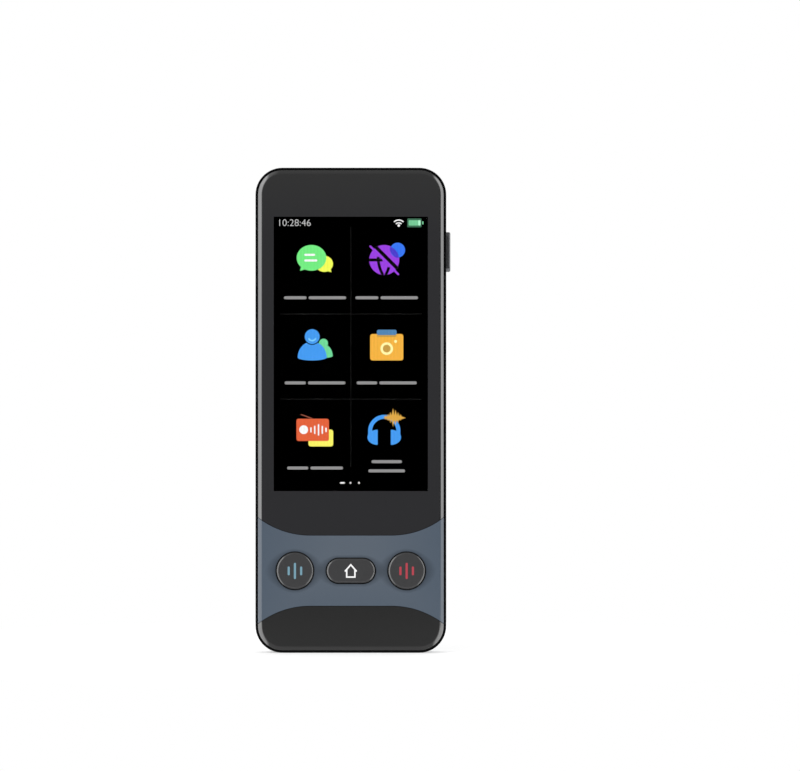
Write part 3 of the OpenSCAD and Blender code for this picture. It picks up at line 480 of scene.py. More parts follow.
def lit(name, colour=None):
    """Lit part of a screen or symbol: its own light, broken by fine lines."""
    found = bpy.data.materials.get("Lit " + name)
    if found:
        return found
    colour = colour or paint(PICTURE_COLOURS[name])
    made = Finish("Lit " + name, (0.0, 0.0, 0.0), 0.5, specular=0.1)
    glow = made.tones(made.bands(0.15 * MM), shade(colour, -0.08), colour)
    made.feed(Emission_Color=glow, Emission_Strength=1.12)
    return made.material


def circuit_board(name, colour):
    """Green solder mask with paler tracks under it."""
    made = Finish(name, colour, 0.35)
    inputs = {"Vector": made.place, "Scale": 1 / (1.6 * MM)}
    tracks = made.add("TexVoronoi", inputs, feature="DISTANCE_TO_EDGE").outputs["Distance"]
    made.feed(Base_Color=made.tones(tracks, shade(colour, 0.8), colour, 0.02, 0.06))
    made.relief(tracks, 0.01 * MM, 0.5)
    return made.material


def striped(name, first, second, size, roughness, direction="X"):
    """Parallel stripes, as on a flex circuit's conductors or a speaker's surround."""
    made = Finish(name, first, roughness)
    stripes = made.bands(size, bands_direction=direction)
    made.feed(Base_Color=made.tones(stripes, first, second, 0.45, 0.55))
    made.relief(stripes, 0.01 * MM)
    return made.material


def woven_mesh(name, colour):
    """Fine woven mesh: two crossed sets of threads."""
    made = Finish(name, colour, 0.7, specular=0.2)
    weave = made.maths("MULTIPLY", *[made.bands(0.25 * MM, bands_direction=axis) for axis in ("X", "Z")])
    made.feed(Base_Color=made.tones(weave, shade(colour, -0.5), colour, 0.1, 0.6))
    made.relief(weave, 0.03 * MM)
    return made.material


def bezel_metal(name, rim, wall, rim_depth):
    """Bright rim at the surface, black walls below it."""
    made = Finish(name, rim, 0.3)
    depth = made.maths("MULTIPLY", made.along("Y"), -1.0)
    below = made.ranged(depth, 0, 1, rim_depth * 0.7, rim_depth)
    grain = made.noise(0.2 * MM)
    made.feed(
        Base_Color=made.tones(below, rim, wall),
        Metallic=made.ranged(below, 1.0, 0.0),
        Roughness=made.ranged(grain, 0.2, 0.28),
    )
    made.relief(grain, 0.001 * MM)
    return made.material


# ---------- modelling by hand


def clear_selection():
    if bpy.context.mode != "OBJECT":
        bpy.ops.object.mode_set(mode="OBJECT")
    bpy.ops.object.select_all(action="DESELECT")


def select_only(*objects):
    clear_selection()
    for each in objects:
        each.select_set(True)
    bpy.context.view_layer.objects.active = objects[0]


def apply_place(piece):
    """Puts an object's place, turn and scale into its mesh."""
    select_only(piece)
    bpy.ops.object.transform_apply(location=True, rotation=True, scale=True)
    return piece


def put(piece, matrix):
    """Moves a piece by a matrix and leaves its object at the origin."""
    apply_place(piece).matrix_world = matrix
    return apply_place(piece)


def stand_up(piece, x=0.0, z=0.0):
    """Turns a piece from the face's lying frame to the standing one, at a place on the face."""
    return put(piece, Matrix.Translation((x, 0, z)) @ Matrix.Rotation(math.pi / 2, 4, "X"))


def edit(piece):
    select_only(piece)
    bpy.ops.object.mode_set(mode="EDIT")


def pick_all():
    bpy.ops.mesh.select_all(action="SELECT")


def pick(piece, kind, test):
    """Selects the faces, edges or vertices that pass a test, in edit mode."""
    bpy.ops.mesh.select_mode(type=kind)
    bpy.ops.mesh.select_all(action="DESELECT")
    mesh = bmesh.from_edit_mesh(piece.data)
    for each in {"FACE": mesh.faces, "EDGE": mesh.edges, "VERT": mesh.verts}[kind]:
        if test(each):
            each.select_set(True)
    mesh.select_flush_mode()
    bmesh.update_edit_mesh(piece.data)


def joined(name, parts):
    """Joins parts into one piece of that name, its object at the origin."""
    select_only(*parts)
    if len(parts) > 1:
        bpy.ops.object.join()
    piece = bpy.context.active_object
    piece.name = piece.data.name = name
    return apply_place(piece)


def give(piece, finish):
    """Gives a piece its only material."""
    piece.data.materials.clear()
    piece.data.materials.append(finish)
    return piece


def smooth(piece):
    select_only(piece)
    bpy.ops.object.shade_smooth_by_angle(angle=math.radians(35))
    return piece


def bar(x, y, wide, high, round_by, low, high_level, turn=0.0):
    """A thin bar or card with round corners, between two levels.

    The rounding stays just under half of the shorter side, so that opposite corners don't meet.
    """
    bpy.ops.mesh.primitive_cube_add(size=1, location=(x, y, (low + high_level) / 2), rotation=(0, 0, turn))
    piece = bpy.context.active_object
    piece.scale = (wide, high, high_level - low)
    bpy.ops.object.transform_apply(location=False, rotation=False, scale=True)
    edit(piece)
    pick(piece, "EDGE", lambda e: abs(e.verts[0].co.z - e.verts[1].co.z) > 1e-7)
    bpy.ops.mesh.bevel(offset=min(round_by, 0.499 * min(wide, high)), segments=5, affect="EDGES")
    clear_selection()
    return piece


def disc(x, y, radius_x, radius_y, low, high, turn=0.0, corners=48):
    """A thin round, oval or few-cornered plate between two levels."""
    bpy.ops.mesh.primitive_cylinder_add(
        vertices=corners, radius=1, depth=high - low, location=(x, y, (low + high) / 2), rotation=(0, 0, turn)
    )
    piece = bpy.context.active_object
    piece.scale = (radius_x, radius_y, 1)
    return piece


def bisected(piece, point, normal):
    """Cuts a piece by a plane, closes the cut and keeps the side that the plane's normal points to."""
    apply_place(piece)
    edit(piece)
    pick_all()
    bpy.ops.mesh.bisect(plane_co=point, plane_no=normal, use_fill=True, clear_inner=True, threshold=1e-6)
    clear_selection()
    return piece


def swept(x, y, radius, wide, start, sweep, low, high, steps=24):
    """An arc or a whole ring of rectangular section, swept round a centre between two levels."""
    bpy.ops.mesh.primitive_plane_add(
        size=1,
        location=(x + radius * math.cos(start), y + radius * math.sin(start), (low + high) / 2),
        rotation=(math.pi / 2, 0, start),
    )
    piece = bpy.context.active_object
    piece.scale = (wide, high - low, 1)
    apply_place(piece)
    edit(piece)
    pick_all()
    if sweep > math.radians(359):
        bpy.ops.mesh.delete(type="ONLY_FACE")
        pick_all()
    bpy.ops.mesh.spin(steps=steps, angle=-sweep, center=(x, y, 0), axis=(0, 0, 1))
    pick_all()
    bpy.ops.mesh.remove_doubles(threshold=1e-7)
    bpy.ops.mesh.normals_make_consistent(inside=False)
    clear_selection()
    return piece


class Symbol:
    """Collects a symbol's parts, each a layer higher than the last, and joins them into one piece.

    The parts' places and sizes are given in a unit, from the symbol's middle, and their turns in degrees.
    """

    def __init__(self, name, x, y, floor, first, step, unit=1.0):
        self.name, self.x, self.y, self.unit = name, x, y, unit
        self.floor, self.top, self.step = floor, floor + first, step
        self.parts = []
        clear_selection()

    def metres(self, x, y, *lengths):
        """A place and lengths in metres."""
        return (self.x + x * self.unit, self.y + y * self.unit, *[each * self.unit for each in lengths])

    def add(self, piece, colour):
        self.parts.append(give(piece, lit(colour)))
        self.top += self.step

    def bar(self, x, y, wide, high, round_by, colour, turn=0):
        place = self.metres(x, y, wide, high, round_by)
        self.add(bar(*place, self.floor, self.top, math.radians(turn)), colour)

    def disc(self, x, y, radius_x, radius_y, colour, turn=0, corners=48):
        place = self.metres(x, y, radius_x, radius_y)
        self.add(disc(*place, self.floor, self.top, math.radians(turn), corners), colour)

    def half_disc(self, x, y, radius_x, radius_y, colour, towards=(0, 1)):
        place = self.metres(x, y, radius_x, radius_y)
        self.add(bisected(disc(*place, self.floor, self.top), (*place[:2], 0), (*towards, 0)), colour)

    def arc(self, x, y, radius, wide, start, sweep, colour, steps=24):
        place = self.metres(x, y, radius, wide)
        self.add(swept(*place, math.radians(start), math.radians(sweep), self.floor, self.top, steps), colour)

    def done(self, body="device", slot="display_glass"):
        piece = stand_up(joined(self.name, self.parts))
        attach(piece, body)


def model_key(radius, straight, levels, flange, rim, finish):
    """Models a key on its back: a flange, then a cap whose outer edge is rounded.

    levels are the flange's back, the flange's front and the cap's top; straight is half the straight stretch.
    """
    back, front, top = levels
    steps = 96
    clear_selection()
    bpy.ops.mesh.primitive_cylinder_add(
        vertices=steps, radius=radius + flange, depth=front - back, location=(0, 0, (front + back) / 2)
    )
    key = bpy.context.active_object
    # Half a step of turn keeps every corner off the line where a long key is drawn apart.
    key.rotation_euler.z = math.pi / steps
    apply_place(key)
    edit(key)
    pick(key, "FACE", lambda f: f.normal.z > 0.9)
    bpy.ops.mesh.inset(thickness=flange)
    bpy.ops.mesh.extrude_region_move(TRANSFORM_OT_translate={"value": (0, 0, top - front)})
    pick(key, "EDGE", lambda e: all(abs(v.co.z - top) < 1e-7 for v in e.verts))
    bpy.ops.mesh.bevel(offset=rim, segments=8, affect="EDGES")
    if straight > 0:
        for side in (-1, 1):
            pick(key, "VERT", lambda v: v.co.x * side > 0)
            bpy.ops.transform.translate(value=(side * straight, 0, 0))
            bpy.ops.mesh.select_all(action="DESELECT")
    smooth(give(key, finish))
    flat_faces = key.modifiers.new("Face weight", "WEIGHTED_NORMAL")
    flat_faces.keep_sharp = True
    bpy.ops.object.modifier_apply(modifier=flat_faces.name)
    return key


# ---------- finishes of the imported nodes


def dress(slot, finish):
    """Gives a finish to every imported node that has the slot."""
    dressed = [node for node in frame["nodes"].values() if node.data.materials[0].name == slot]
    if not dressed:
        raise RuntimeError(f"no packed node has the slot {slot}")
    for node in dressed:
        node.material_slots[0].material = finish


class TRANSLATOR_OT_dress_casing(bpy.types.Operator):
    """Give the cover, the frame, the housing and the camera bezel their finishes"""

    bl_idname = "translator.dress_casing"
    bl_label = "Dress casing"

    def execute(self, context):
        colours = context.scene.translator_colours
        rim, wall, rim_depth = paint("c9cbcf"), paint("0c0c0d"), 0.18 * MM
        dress("cover_black", moulded("Matt cover plastic", colours.cover, 0.5, specular=0.2, tint=0.03))
        dress("frame_silver", satin_metal("Satin silver frame", colours.frame, 0.32, (1, 1, 0.05)))
        dress("housing_black", moulded("Black housing plastic", colours.housing, 0.45, specular=0.08))
        dress("bezel_metal", bezel_metal("Bezel with bright rim", rim, wall, rim_depth))
        return FINISHED


class TRANSLATOR_OT_dress_face(bpy.types.Operator):
    """Give the lens, its border, the fascia, the chin, the display and the camera window their finishes"""

    bl_idname = "translator.dress_face"
    bl_label = "Dress face"

    def execute(self, context):
        colours = context.scene.translator_colours
        dress("lens_glass", lens_glass(colours, context.scene.translator_picture))
        dress("border_film", border_film(colours))
        dress("fascia_blue_grey", fascia_paint(colours, context.scene.translator_keys))
        dress("chin_black", chin_plastic(colours))
        dress("display_glass", moulded("Dark display", paint("000000"), 0.5, specular=0.0))
        dress("window_glass", clear_glass("Camera window glass", tint=(0.75, 0.77, 0.8), ior=1.2))
        return FINISHED


class TRANSLATOR_OT_dress_inside(bpy.types.Operator):
    """Give the boards, the battery, the speaker and all that is inside their finishes"""

    bl_idname = "translator.dress_inside"
    bl_label = "Dress inside"

    def execute(self, context):
        coarse = ("foam", "battery_foil", "tape")
        for slot, name, code, roughness, *metallic in (
            ("tape", "Black acrylic tape", "111112", 0.75),
            ("plunger_ivory", "Ivory plunger plastic", "d8d3c4", 0.45),
            ("switch_black", "Black switch body", "1d1e20", 0.5),
            ("connector_ivory", "Ivory connector body", "e6e0cf", 0.5),
            ("port_black", "Black port insulator", "141517", 0.45),
            ("battery_foil", "Battery pouch foil", "6a6d72", 0.38, 0.8),
            ("battery_tape_white", "White battery tape", "e4e4e2", 0.65),
            ("lead_red", "Red lead sleeve", "b8352b", 0.45),
            ("speaker_black", "Black speaker frame", "18191b", 0.5),
            ("magnet_metal", "Nickelled magnet", "a9acb0", 0.3, 1.0),
            ("foam", "Black foam", "141516", 0.95),
            ("camera_black", "Black camera barrel", "0b0b0c", 0.4),
            ("microphone_gold", "Gilt microphone can", "c9a95e", 0.3, 1.0),
        ):
            grain = (0.4 if slot in coarse else 0.12) * MM
            dress(slot, moulded(name, paint(code), roughness, grain, grain / 20, 0.4, *metallic))
        for slot, name, code, roughness in (
            ("steel", "Pressed steel", "a4a8ac", 0.35),
            ("screw_steel", "Dark screw steel", "6f7275", 0.3),
            ("port_steel", "Port shell steel", "c4c7cb", 0.25),
        ):
            dress(slot, satin_metal(name, paint(code), roughness, (1, 0.08, 1)))
        grey, dark_grey = paint("6a6d70"), paint("5c5f62")
        dress("board_green", circuit_board("Green circuit board", paint("1f4d3a")))
        dress("flex_copper", striped("Copper flex circuit", paint("b8742a"), paint("8a5520"), 0.3 * MM, 0.4))
        dress("speaker_cone_grey", striped("Grey speaker cone", grey, dark_grey, 0.8 * MM, 0.6, "Z"))
        dress("mesh_black", woven_mesh("Black speaker mesh", paint("0c0c0d")))
        return FINISHED


# ---------- keys


def build_face_key(node, body, name, sizes, finish, draw, colour):
    """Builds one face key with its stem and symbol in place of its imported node."""
    half_wide, half_high = half_size(node)
    straight = half_wide - half_high
    stem_end = back_of(node)
    flange_back = stem_end + sizes.stem_depth
    flange_front = flange_back + sizes.flange_depth
    top = front_of(node) - sizes.symbol_depth
    levels = flange_back, flange_front, top
    cap = model_key(half_high - sizes.flange, straight, levels, sizes.flange, sizes.rim, finish)
    stem = disc(0, 0, sizes.stem / 2, sizes.stem / 2, stem_end, flange_back + STEM_OVERLAP)
    key = joined(name, [cap, give(stem, finish)])
    stand_up(key, *middle_of(node))
    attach(key, body)
    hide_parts(node)
    symbol = Symbol(name + "_symbol", *middle_of(node), top - sizes.symbol_depth, 2 * sizes.symbol_depth, 0)
    draw(symbol, sizes, colour)
    symbol.done(body, "key_grey")


def talk_bars(symbol, sizes, colour):
    """The talk symbol: a tall bar between two short ones."""
    for side, high in ((-1, sizes.short_bar), (0, sizes.tall_bar), (1, sizes.short_bar)):
        symbol.bar(side * sizes.bar_step, 0, sizes.bar, high, sizes.bar, colour)


def house_outline(symbol, sizes, colour):
    """The home symbol: a roof with eaves over three walls."""
    wide, high, line = sizes.house_wide, sizes.house_high, sizes.house_line
    rise, wall = 0.45 * high, 0.33 * wide
    run = wide / 2 - line / 2
    slope = math.degrees(math.atan2(rise, run))
    slant = math.hypot(rise, run) + line
    eaves = high / 2 - rise / 2 - line / 2
    wall_high = high - rise
    foot = (line - high) / 2
    for side in (-1, 1):
        symbol.bar(side * run / 2, eaves, slant, line, line / 4, colour, -side * slope)
        symbol.bar(side * wall, foot + wall_high / 2, line, wall_high, line / 8, colour)
    symbol.bar(0, foot, 2 * wall + line, line, line / 8, colour)


class TRANSLATOR_OT_build_face_keys(bpy.types.Operator):
    """Build the two talk keys and the home key with their lit symbols"""

    bl_idname = "translator.build_face_keys"
    bl_label = "Build face keys"

    def execute(self, context):
        sizes, colours = context.scene.translator_keys, context.scene.translator_colours
        finish = moulded("Satin key plastic", colours.keys, 0.2, specular=0.3, tint=0.02, edge=2.06)
        lit("teal", colours.talk_left)
        lit("white", colours.home)
        lit("red", colours.talk_right)
        for node, body, name, draw, colour in (
            ("talk_key_left", "left_talk_button", "left_talk_cap", talk_bars, "teal"),
            ("home_key", "home_button", "home_cap", house_outline, "white"),
            ("talk_key_right", "right_talk_button", "right_talk_cap", talk_bars, "red"),
        ):
            build_face_key(node, body, name, sizes, finish, draw, colour)
        return FINISHED


class TRANSLATOR_OT_build_side_key(bpy.types.Operator):
    """Build the power key in the right side, its outer edge rounded"""

    bl_idname = "translator.build_side_key"
    bl_label = "Build power key"

    def execute(self, context):
        sizes, colours = context.scene.translator_keys, context.scene.translator_colours
        finish = satin_metal("Satin power key", colours.side_key, 0.32, (1, 1, 0.1), 0.7)
        low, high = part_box("power_key")
        half_thick, half_long = (high.y - low.y) / 2, (high.z - low.z) / 2
        flange_back = low.x + sizes.side_stem_depth
        levels = flange_back, flange_back + sizes.side_flange_depth, high.x
        radius = half_thick - sizes.side_flange
        cap = model_key(radius, half_long - half_thick, levels, sizes.side_flange, sizes.side_rim, finish)
        stem_high, corner = 2 * MM, 0.2 * MM
        stem = bar(0, 0, sizes.side_stem, stem_high, corner, low.x, flange_back + STEM_OVERLAP)
        key = joined("power_cap", [cap, give(stem, finish)])
        middle_y, middle_z = (low.y + high.y) / 2, (low.z + high.z) / 2
        outwards = ((0, 0, 1, 0), (0, -1, 0, middle_y), (1, 0, 0, middle_z), (0, 0, 0, 1))
        put(key, Matrix(outwards))
        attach(key, "power_button")
        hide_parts("power_key")
        return FINISHED


# ---------- picture


def picture_symbol(name, layout, x=0.0, y=0.0, unit=MM):
    """Starts a symbol on the display at a place measured from the picture's middle."""
    across, height = middle_of("display_panel")
    floor = front_of("display_panel")
    y += height + layout.ledge_shift
    return Symbol(name, across + x, y, floor, layout.first_layer, layout.layer_step, unit)


def speech_symbol(s):
    """Two speech balloons, the larger with two lines in it."""
    s.disc(2.6, -1.2, 2.5, 2.3, "yellow")
    s.disc(3.9, -2.8, 1.1, 1.1, "yellow", turn=-15, corners=3)
    s.disc(-1.0, 0.5, 4.2, 3.65, "green")
    s.disc(-3.5, -2.4, 1.1, 1.1, "green", turn=15, corners=3)
    s.bar(-1.5, 1.35, 3.1, 0.6, 0.3, "white")
    s.bar(-1.2, -0.25, 3.7, 0.6, 0.3, "white")


def globe_symbol(s):
    """A globe with some of its lines, struck through, and a small moon over its edge."""
    s.disc(-0.7, -0.1, 4.25, 4.25, "purple")
    s.disc(3.1, 2.7, 2.1, 2.1, "blue")
    s.disc(2.1, 2.0, 0.75, 1.85, "violet", turn=38)
    s.bar(-3.1, -0.1, 3.9, 0.85, 0.1, "shadow")
    s.arc(7.6, 0.6, 10, 0.8, 179, 31, "shadow")
    s.arc(-9.0, 0.6, 10, 0.8, -30, 14, "shadow")
    s.bar(0, 0.5, 9.0, 1.0, 0.1, "shadow", turn=-45)
    s.bar(-0.7, -0.2, 11.7, 0.55, 0.27, "purple", turn=-45)


def people_symbol(s):
    """Two people, one before the other."""
    s.half_disc(2.7, -3.2, 2.3, 3.2, "mint")
    s.disc(2.7, -3.2, 2.3, 0.5, "mint")
    s.disc(2.4, 0.4, 1.3, 1.3, "mint")
    s.half_disc(-0.8, -3.6, 4.1, 4.5, "sky blue")
    s.disc(-0.8, -3.6, 4.1, 0.85, "sky blue")
    s.disc(-0.8, 2.3, 2.35, 2.35, "shadow")
    s.disc(-0.8, 2.3, 2.1, 2.1, "sky blue")
    s.arc(-0.8, 2.2, 1.05, 0.45, 200, 140, "pale blue", 16)


def photo_symbol(s):
    """A camera with its lens ring, shutter tab and lamp."""
    s.bar(0, -0.7, 9.4, 7.5, 0.7, "amber")
    s.bar(0, 2.75, 5.5, 1.1, 0.4, "dark amber")
    s.bar(0, 3.5, 5.6, 1.5, 0.5, "slate")
    s.disc(0, -1.1, 1.3, 1.3, "dark amber")
    s.arc(0, -1.1, 1.44, 0.7, 0, 360, "cream", 48)
    s.disc(2.5, 0.95, 0.42, 0.42, "cream")


def recorder_symbol(s):
    """A recorder with a dial and level bars, a card behind it and an aerial."""
    s.bar(1.65, -2.3, 7.0, 4.8, 0.7, "lemon")
    s.bar(-2.4, 3.8, 3.4, 0.22, 0.08, "russet", turn=-20)
    s.bar(-0.65, 0, 9.2, 6.3, 0.6, "orange")
    s.disc(-3.2, 0.05, 1.25, 1.25, "white")
    for i, high in enumerate((1.5, 2.4, 3.3, 2.3, 1.3)):
        s.bar(-1.15 + 1.07 * i, 0, 0.4, high, 0.2, "white")


def headphone_symbol(s):
    """Headphones with a burst of level bars at one side."""
    s.arc(-0.7, -0.3, 4.0, 1.15, 0, 180, "sky blue")
    for side in (-1, 1):
        s.bar(-0.7 + side * 4.0, -0.9, 1.1, 2.4, 0.2, "sky blue")
        s.half_disc(-0.7 + side * 1.85, -2.1, 2.9, 2.15, "sky blue", (side, 0))
    s.disc(2.35, 3.4, 3.1, 0.9, "gold", corners=4)
    for i, high in enumerate((1.2, 2.0, 3.2, 5.3, 4.4, 3.1, 1.9)):
        s.disc(-0.35 + 0.71 * i, 3.5, 0.5, high / 2, "gold", corners=4)


def status_row(layout):
    """Clock digits, a signal fan and a battery gauge."""
    s = picture_symbol("status_row", layout, y=layout.status_height)
    bpy.ops.object.text_add(location=(*s.metres(-20.85, -0.8), s.floor))
    digits = bpy.context.active_object
    digits.data.body = "10:28:46"
    digits.data.size = 2.8 * MM
    digits.data.offset = -0.03 * MM
    digits.data.extrude = 0.02 * MM
    bpy.ops.object.convert(target="MESH")
    s.add(bpy.context.active_object, "pale grey")
    for radius in (1.1, 1.9):
        s.arc(13.55, -1.0, radius, 0.34, 45, 90, "white", 10)
    s.disc(13.55, -0.65, 0.36, 0.36, "white")
    s.bar(17.98, 0.1, 4.04, 2.5, 0.3, "battery green")
    s.bar(20.38, 0.1, 0.36, 0.9, 0.15, "pale mint")
    s.bar(17.7, 0.1, 2.7, 1.5, 0.2, "pale mint")
    s.bar(19.4, 0.1, 0.7, 1.5, 0.2, "pale green")
    s.done()


def caption_bars(layout):
    """Plain bars where the words under the symbols stand."""
    s = picture_symbol("caption_bars", layout, unit=1)
    s.step = 0
    round_by = layout.caption_high / 2
    # Side of the picture, row, lift and lengths of the words, the last two in millimetres.
    for side, row, lift, words in (
        (-1, 0, 0, (6.4, 10.6)),
        (1, 0, 0, (6.5, 10.6)),
        (-1, 1, 0, (6.0, 10.6)),
        (1, 1, 0, (5.8, 10.6)),
        (-1, 2, 0, (6.0, 9.2)),
        (1, 2, 1.8, (8.6,)),
        (1, 2, -0.8, (10.4,)),
    ):
        wide = sum(words) * MM + (len(words) - 1) * layout.word_space
        start = side * layout.column - wide / 2
        height = layout.top_row - row * layout.row_step - layout.caption_drop + lift * MM
        for word in words:
            s.bar(start + word * MM / 2, height, word * MM, layout.caption_high, round_by, "grey")
            start += word * MM + layout.word_space
    s.done()


def tile_lines(layout):
    """Faint lines between the tiles."""
    s = picture_symbol("tile_lines", layout)
    line, corner, below = 0.3, 0.05, 3.35
    s.bar(0, 2, line, 68, corner, "faint grey")
    for row in (0.5, 1.5):
        between_rows = (layout.top_row - row * layout.row_step) / MM
        s.bar(0, between_rows - below, 40, line, corner, "faint grey")
    s.done()


def page_marks(layout):
    """A dash and two dots under the tiles."""
    s = picture_symbol("page_marks", layout, y=-layout.page_drop)
    s.bar(-2.4, 0, 1.4, 0.42, 0.2, "white")
    for x in (-0.1, 2.3):
        s.disc(x, 0, 0.25, 0.25, "white")
    s.done()


class TRANSLATOR_OT_light_picture(bpy.types.Operator):
    """Build what the screen shows: status row, six symbols, caption bars and page marks"""

    bl_idname = "translator.light_picture"
    bl_label = "Light picture"

    def execute(self, context):
        layout = context.scene.translator_picture
        lit("white", context.scene.translator_colours.home)
        symbols = speech_symbol, globe_symbol, people_symbol, photo_symbol, recorder_symbol, headphone_symbol
        for i, draw in enumerate(symbols):
            row, side = i // 2, (-1, 1)[i % 2]
            height = layout.top_row - row * layout.row_step
            s = picture_symbol(draw.__name__, layout, side * layout.column, height)
            draw(s)
            s.done()
        for draw in (status_row, caption_bars, tile_lines, page_marks):
            draw(layout)
        return FINISHED


# ---------- camera and port


def window_mask():
    """A printed card with a round opening, behind the camera's window."""
    half_wide, half_high = half_size("camera_window")
    behind = front_of("camera_window")
    margin, corner, opening = 0.1 * MM, 1.7 * MM, 2.7 * MM
    card_low, card_high = behind + 0.01 * MM, behind + 0.06 * MM
    plate = bar(0, 0, 2 * half_wide - margin, 2 * half_high - margin, corner, card_low, card_high)
    cutter = apply_place(disc(0, 0, opening, opening, behind - MM, behind + MM, corners=72))
    select_only(plate)
    hole = plate.modifiers.new("Lens opening", "BOOLEAN")
    hole.object, hole.operation = cutter, "DIFFERENCE"
    bpy.ops.object.modifier_apply(modifier=hole.name)
    bpy.data.objects.remove(cutter)
    black = moulded("Black printed mask", paint("050506"), 0.5, specular=0.2)
    return joined("window_mask", [give(plate, black)])


def lens_ring(barrel):
    """The ring round the lens, at the end of the barrel."""
    radius, wide = 2.0 * MM, 0.5 * MM
    ring = swept(0, 0, radius, wide, 0, 2 * math.pi, barrel - 0.09 * MM, barrel + 0.01 * MM, 72)
    return joined("lens_ring", [give(ring, satin_metal("Dark lens ring", paint("4c4d50"), 0.3, (1, 1, 1)))])


def lens_dome(barrel):
    """The part of a ball that stands out of the barrel."""
    radius, centre, cut = 1.3 * MM, barrel + 1.35 * MM, barrel + 0.5 * MM
    bpy.ops.mesh.primitive_uv_sphere_add(segments=48, ring_count=24, radius=radius, location=(0, 0, centre))
    dome = bisected(bpy.context.active_object, (0, 0, cut), (0, 0, -1))
    coated = moulded("Coated lens glass", paint("12141c"), 0.06, specular=0.9)
    return smooth(joined("lens_dome", [give(dome, coated)]))


class TRANSLATOR_OT_build_camera_lens(bpy.types.Operator):
    """Build the printed mask behind the camera window, the lens ring and the glass dome"""

    bl_idname = "translator.build_camera_lens"
    bl_label = "Build camera lens"

    def execute(self, context):
        clear_selection()
        barrel = back_of("camera_barrel")
        for piece, slot in (
            (window_mask(), "camera_black"),
            (lens_ring(barrel), "camera_black"),
            (lens_dome(barrel), "window_glass"),
        ):
            stand_up(piece, *middle_of("camera_window"))
            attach(piece, "device")
        return FINISHED


class TRANSLATOR_OT_build_port_contacts(bpy.types.Operator):
    """Build the gilt contacts on both faces of the port's tongue"""

    bl_idname = "translator.build_port_contacts"
    bl_label = "Build port contacts"

    def execute(self, context):
        low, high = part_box("usb_c_tongue")
        middle = (low.y + high.y) / 2
        tongue_half, lift, pitch = 0.35 * MM, 0.03 * MM, 0.5 * MM
        wide, length, corner = 0.26 * MM, 3.4 * MM, 0.05 * MM
        tip = low.z + 0.3 * MM
        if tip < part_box("usb_c_shell")[0].z:
            raise RuntimeError("the contacts stand out of the port")
        gilt = moulded("Gilt contact", paint("d9b25a"), 0.25, metallic=1.0)
        parts = []
        clear_selection()
        for face in (-1, 1):
            level = -middle + face * tongue_half
            for i in range(12):
                place = (i - 5.5) * pitch, tip + length / 2
                piece = bar(*place, wide, length, corner, level - lift / 2, level + lift / 2)
                parts.append(give(piece, gilt))
        contacts = stand_up(joined("port_contacts", parts))
        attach(contacts, "device")
        return FINISHED


# ---------- stage


def studio_world(studio):
    """White to the camera, even light on the object, and pale side panels in its reflections.

    The way that a mirrored ray takes says what it sees: X is to the right, Y to the back and Z upwards.
    """
    world = bpy.data.worlds.new("Studio")
    world.use_nodes = True
    world.node_tree.nodes.clear()
    nodes = Nodes(world.node_tree)
    path = nodes.add("LightPath").outputs
    way = nodes.add("SeparateXYZ", {"Vector": nodes.add("TexCoord").outputs["Generated"]}).outputs
    left = nodes.ranged(way["X"], 1.0, 0.0, -0.4, -0.15)
    right = nodes.ranged(way["X"], 0.0, 0.9, 0.5, 0.7)
    towards_front = nodes.ranged(way["Y"], 1.0, 0.0, -0.15, 0.1)
    brightness = nodes.maths("MULTIPLY_ADD", towards_front, studio.panel_light, studio.side_light)
    dimmed = nodes.ranged(way["Z"], studio.low_light, 1.0, -0.35, -0.1)
    ceiling = nodes.ranged(way["Z"], 0.0, studio.top_light, 0.2, 0.6)
    side = nodes.maths("ADD", left, right)
    panels = nodes.maths("MULTIPLY_ADD", side, nodes.maths("MULTIPLY", brightness, dimmed), ceiling)
    reflected, soft, white = [
        nodes.add("Background", {"Color": WHITE, "Strength": strength}).outputs[0]
        for strength in (panels, studio.soft_light, 1.0)
    ]
    bounces = nodes.maths("ADD", path["Diffuse Depth"], path["Glossy Depth"])
    unbounced = nodes.maths("LESS_THAN", bounces, 0.5)
    through = nodes.maths("MULTIPLY", path["Is Transmission Ray"], unbounced)
    seen = nodes.maths("MAXIMUM", path["Is Camera Ray"], through)
    matt = nodes.maths("GREATER_THAN", path["Diffuse Depth"], 0.5)
    mirrored = nodes.maths("SUBTRACT", path["Is Glossy Ray"], matt, use_clamp=True)
    on_object = nodes.add("MixShader", {0: mirrored, 1: soft, 2: reflected}).outputs[0]
    shown = nodes.add("MixShader", {0: seen, 1: on_object, 2: white}).outputs[0]
    nodes.add("OutputWorld", {"Surface": shown})
    world.cycles.sampling_method = "NONE"
    return world


def floor_finish():
    """Pale floor that looks white but keeps the shadow under the object."""
    made = Finish("Pale floor", (0.8, 0.8, 0.8), 0.9, specular=0.0)
    made.relief(made.noise(2 * MM), 0.01 * MM)
    path = made.add("LightPath").outputs
    seen = made.maths("MAXIMUM", path["Is Camera Ray"], path["Is Glossy Ray"])
    glow = made.add("Emission", {"Color": WHITE, "Strength": made.ranged(seen, 0.0, 0.45)}).outputs[0]
    return made.surface(made.add("AddShader", {0: made.shader.outputs["BSDF"], 1: glow}).outputs[0])


def add_floor(radius):
    """A round floor, just under the foot."""
    foot = CAD_BOX[0].z - 0.02 * MM
    bpy.ops.mesh.primitive_circle_add(vertices=128, radius=radius, fill_type="NGON", location=(0, 0, foot))
    floor = bpy.context.active_object
    floor.name = "floor"
    give(apply_place(floor), floor_finish())


def add_lamp(name, place, power, size):
    """A soft square lamp at a place, aimed at the object's middle."""
    bpy.ops.object.light_add(type="AREA", location=place)
    lamp = bpy.context.active_object
    lamp.name = lamp.data.name = name
    lamp.data.energy = power
    lamp.data.size = size
    lamp.rotation_euler = (-lamp.location).to_track_quat("-Z", "Y").to_euler()
    lamp.visible_camera = False
    lamp.visible_glossy = False


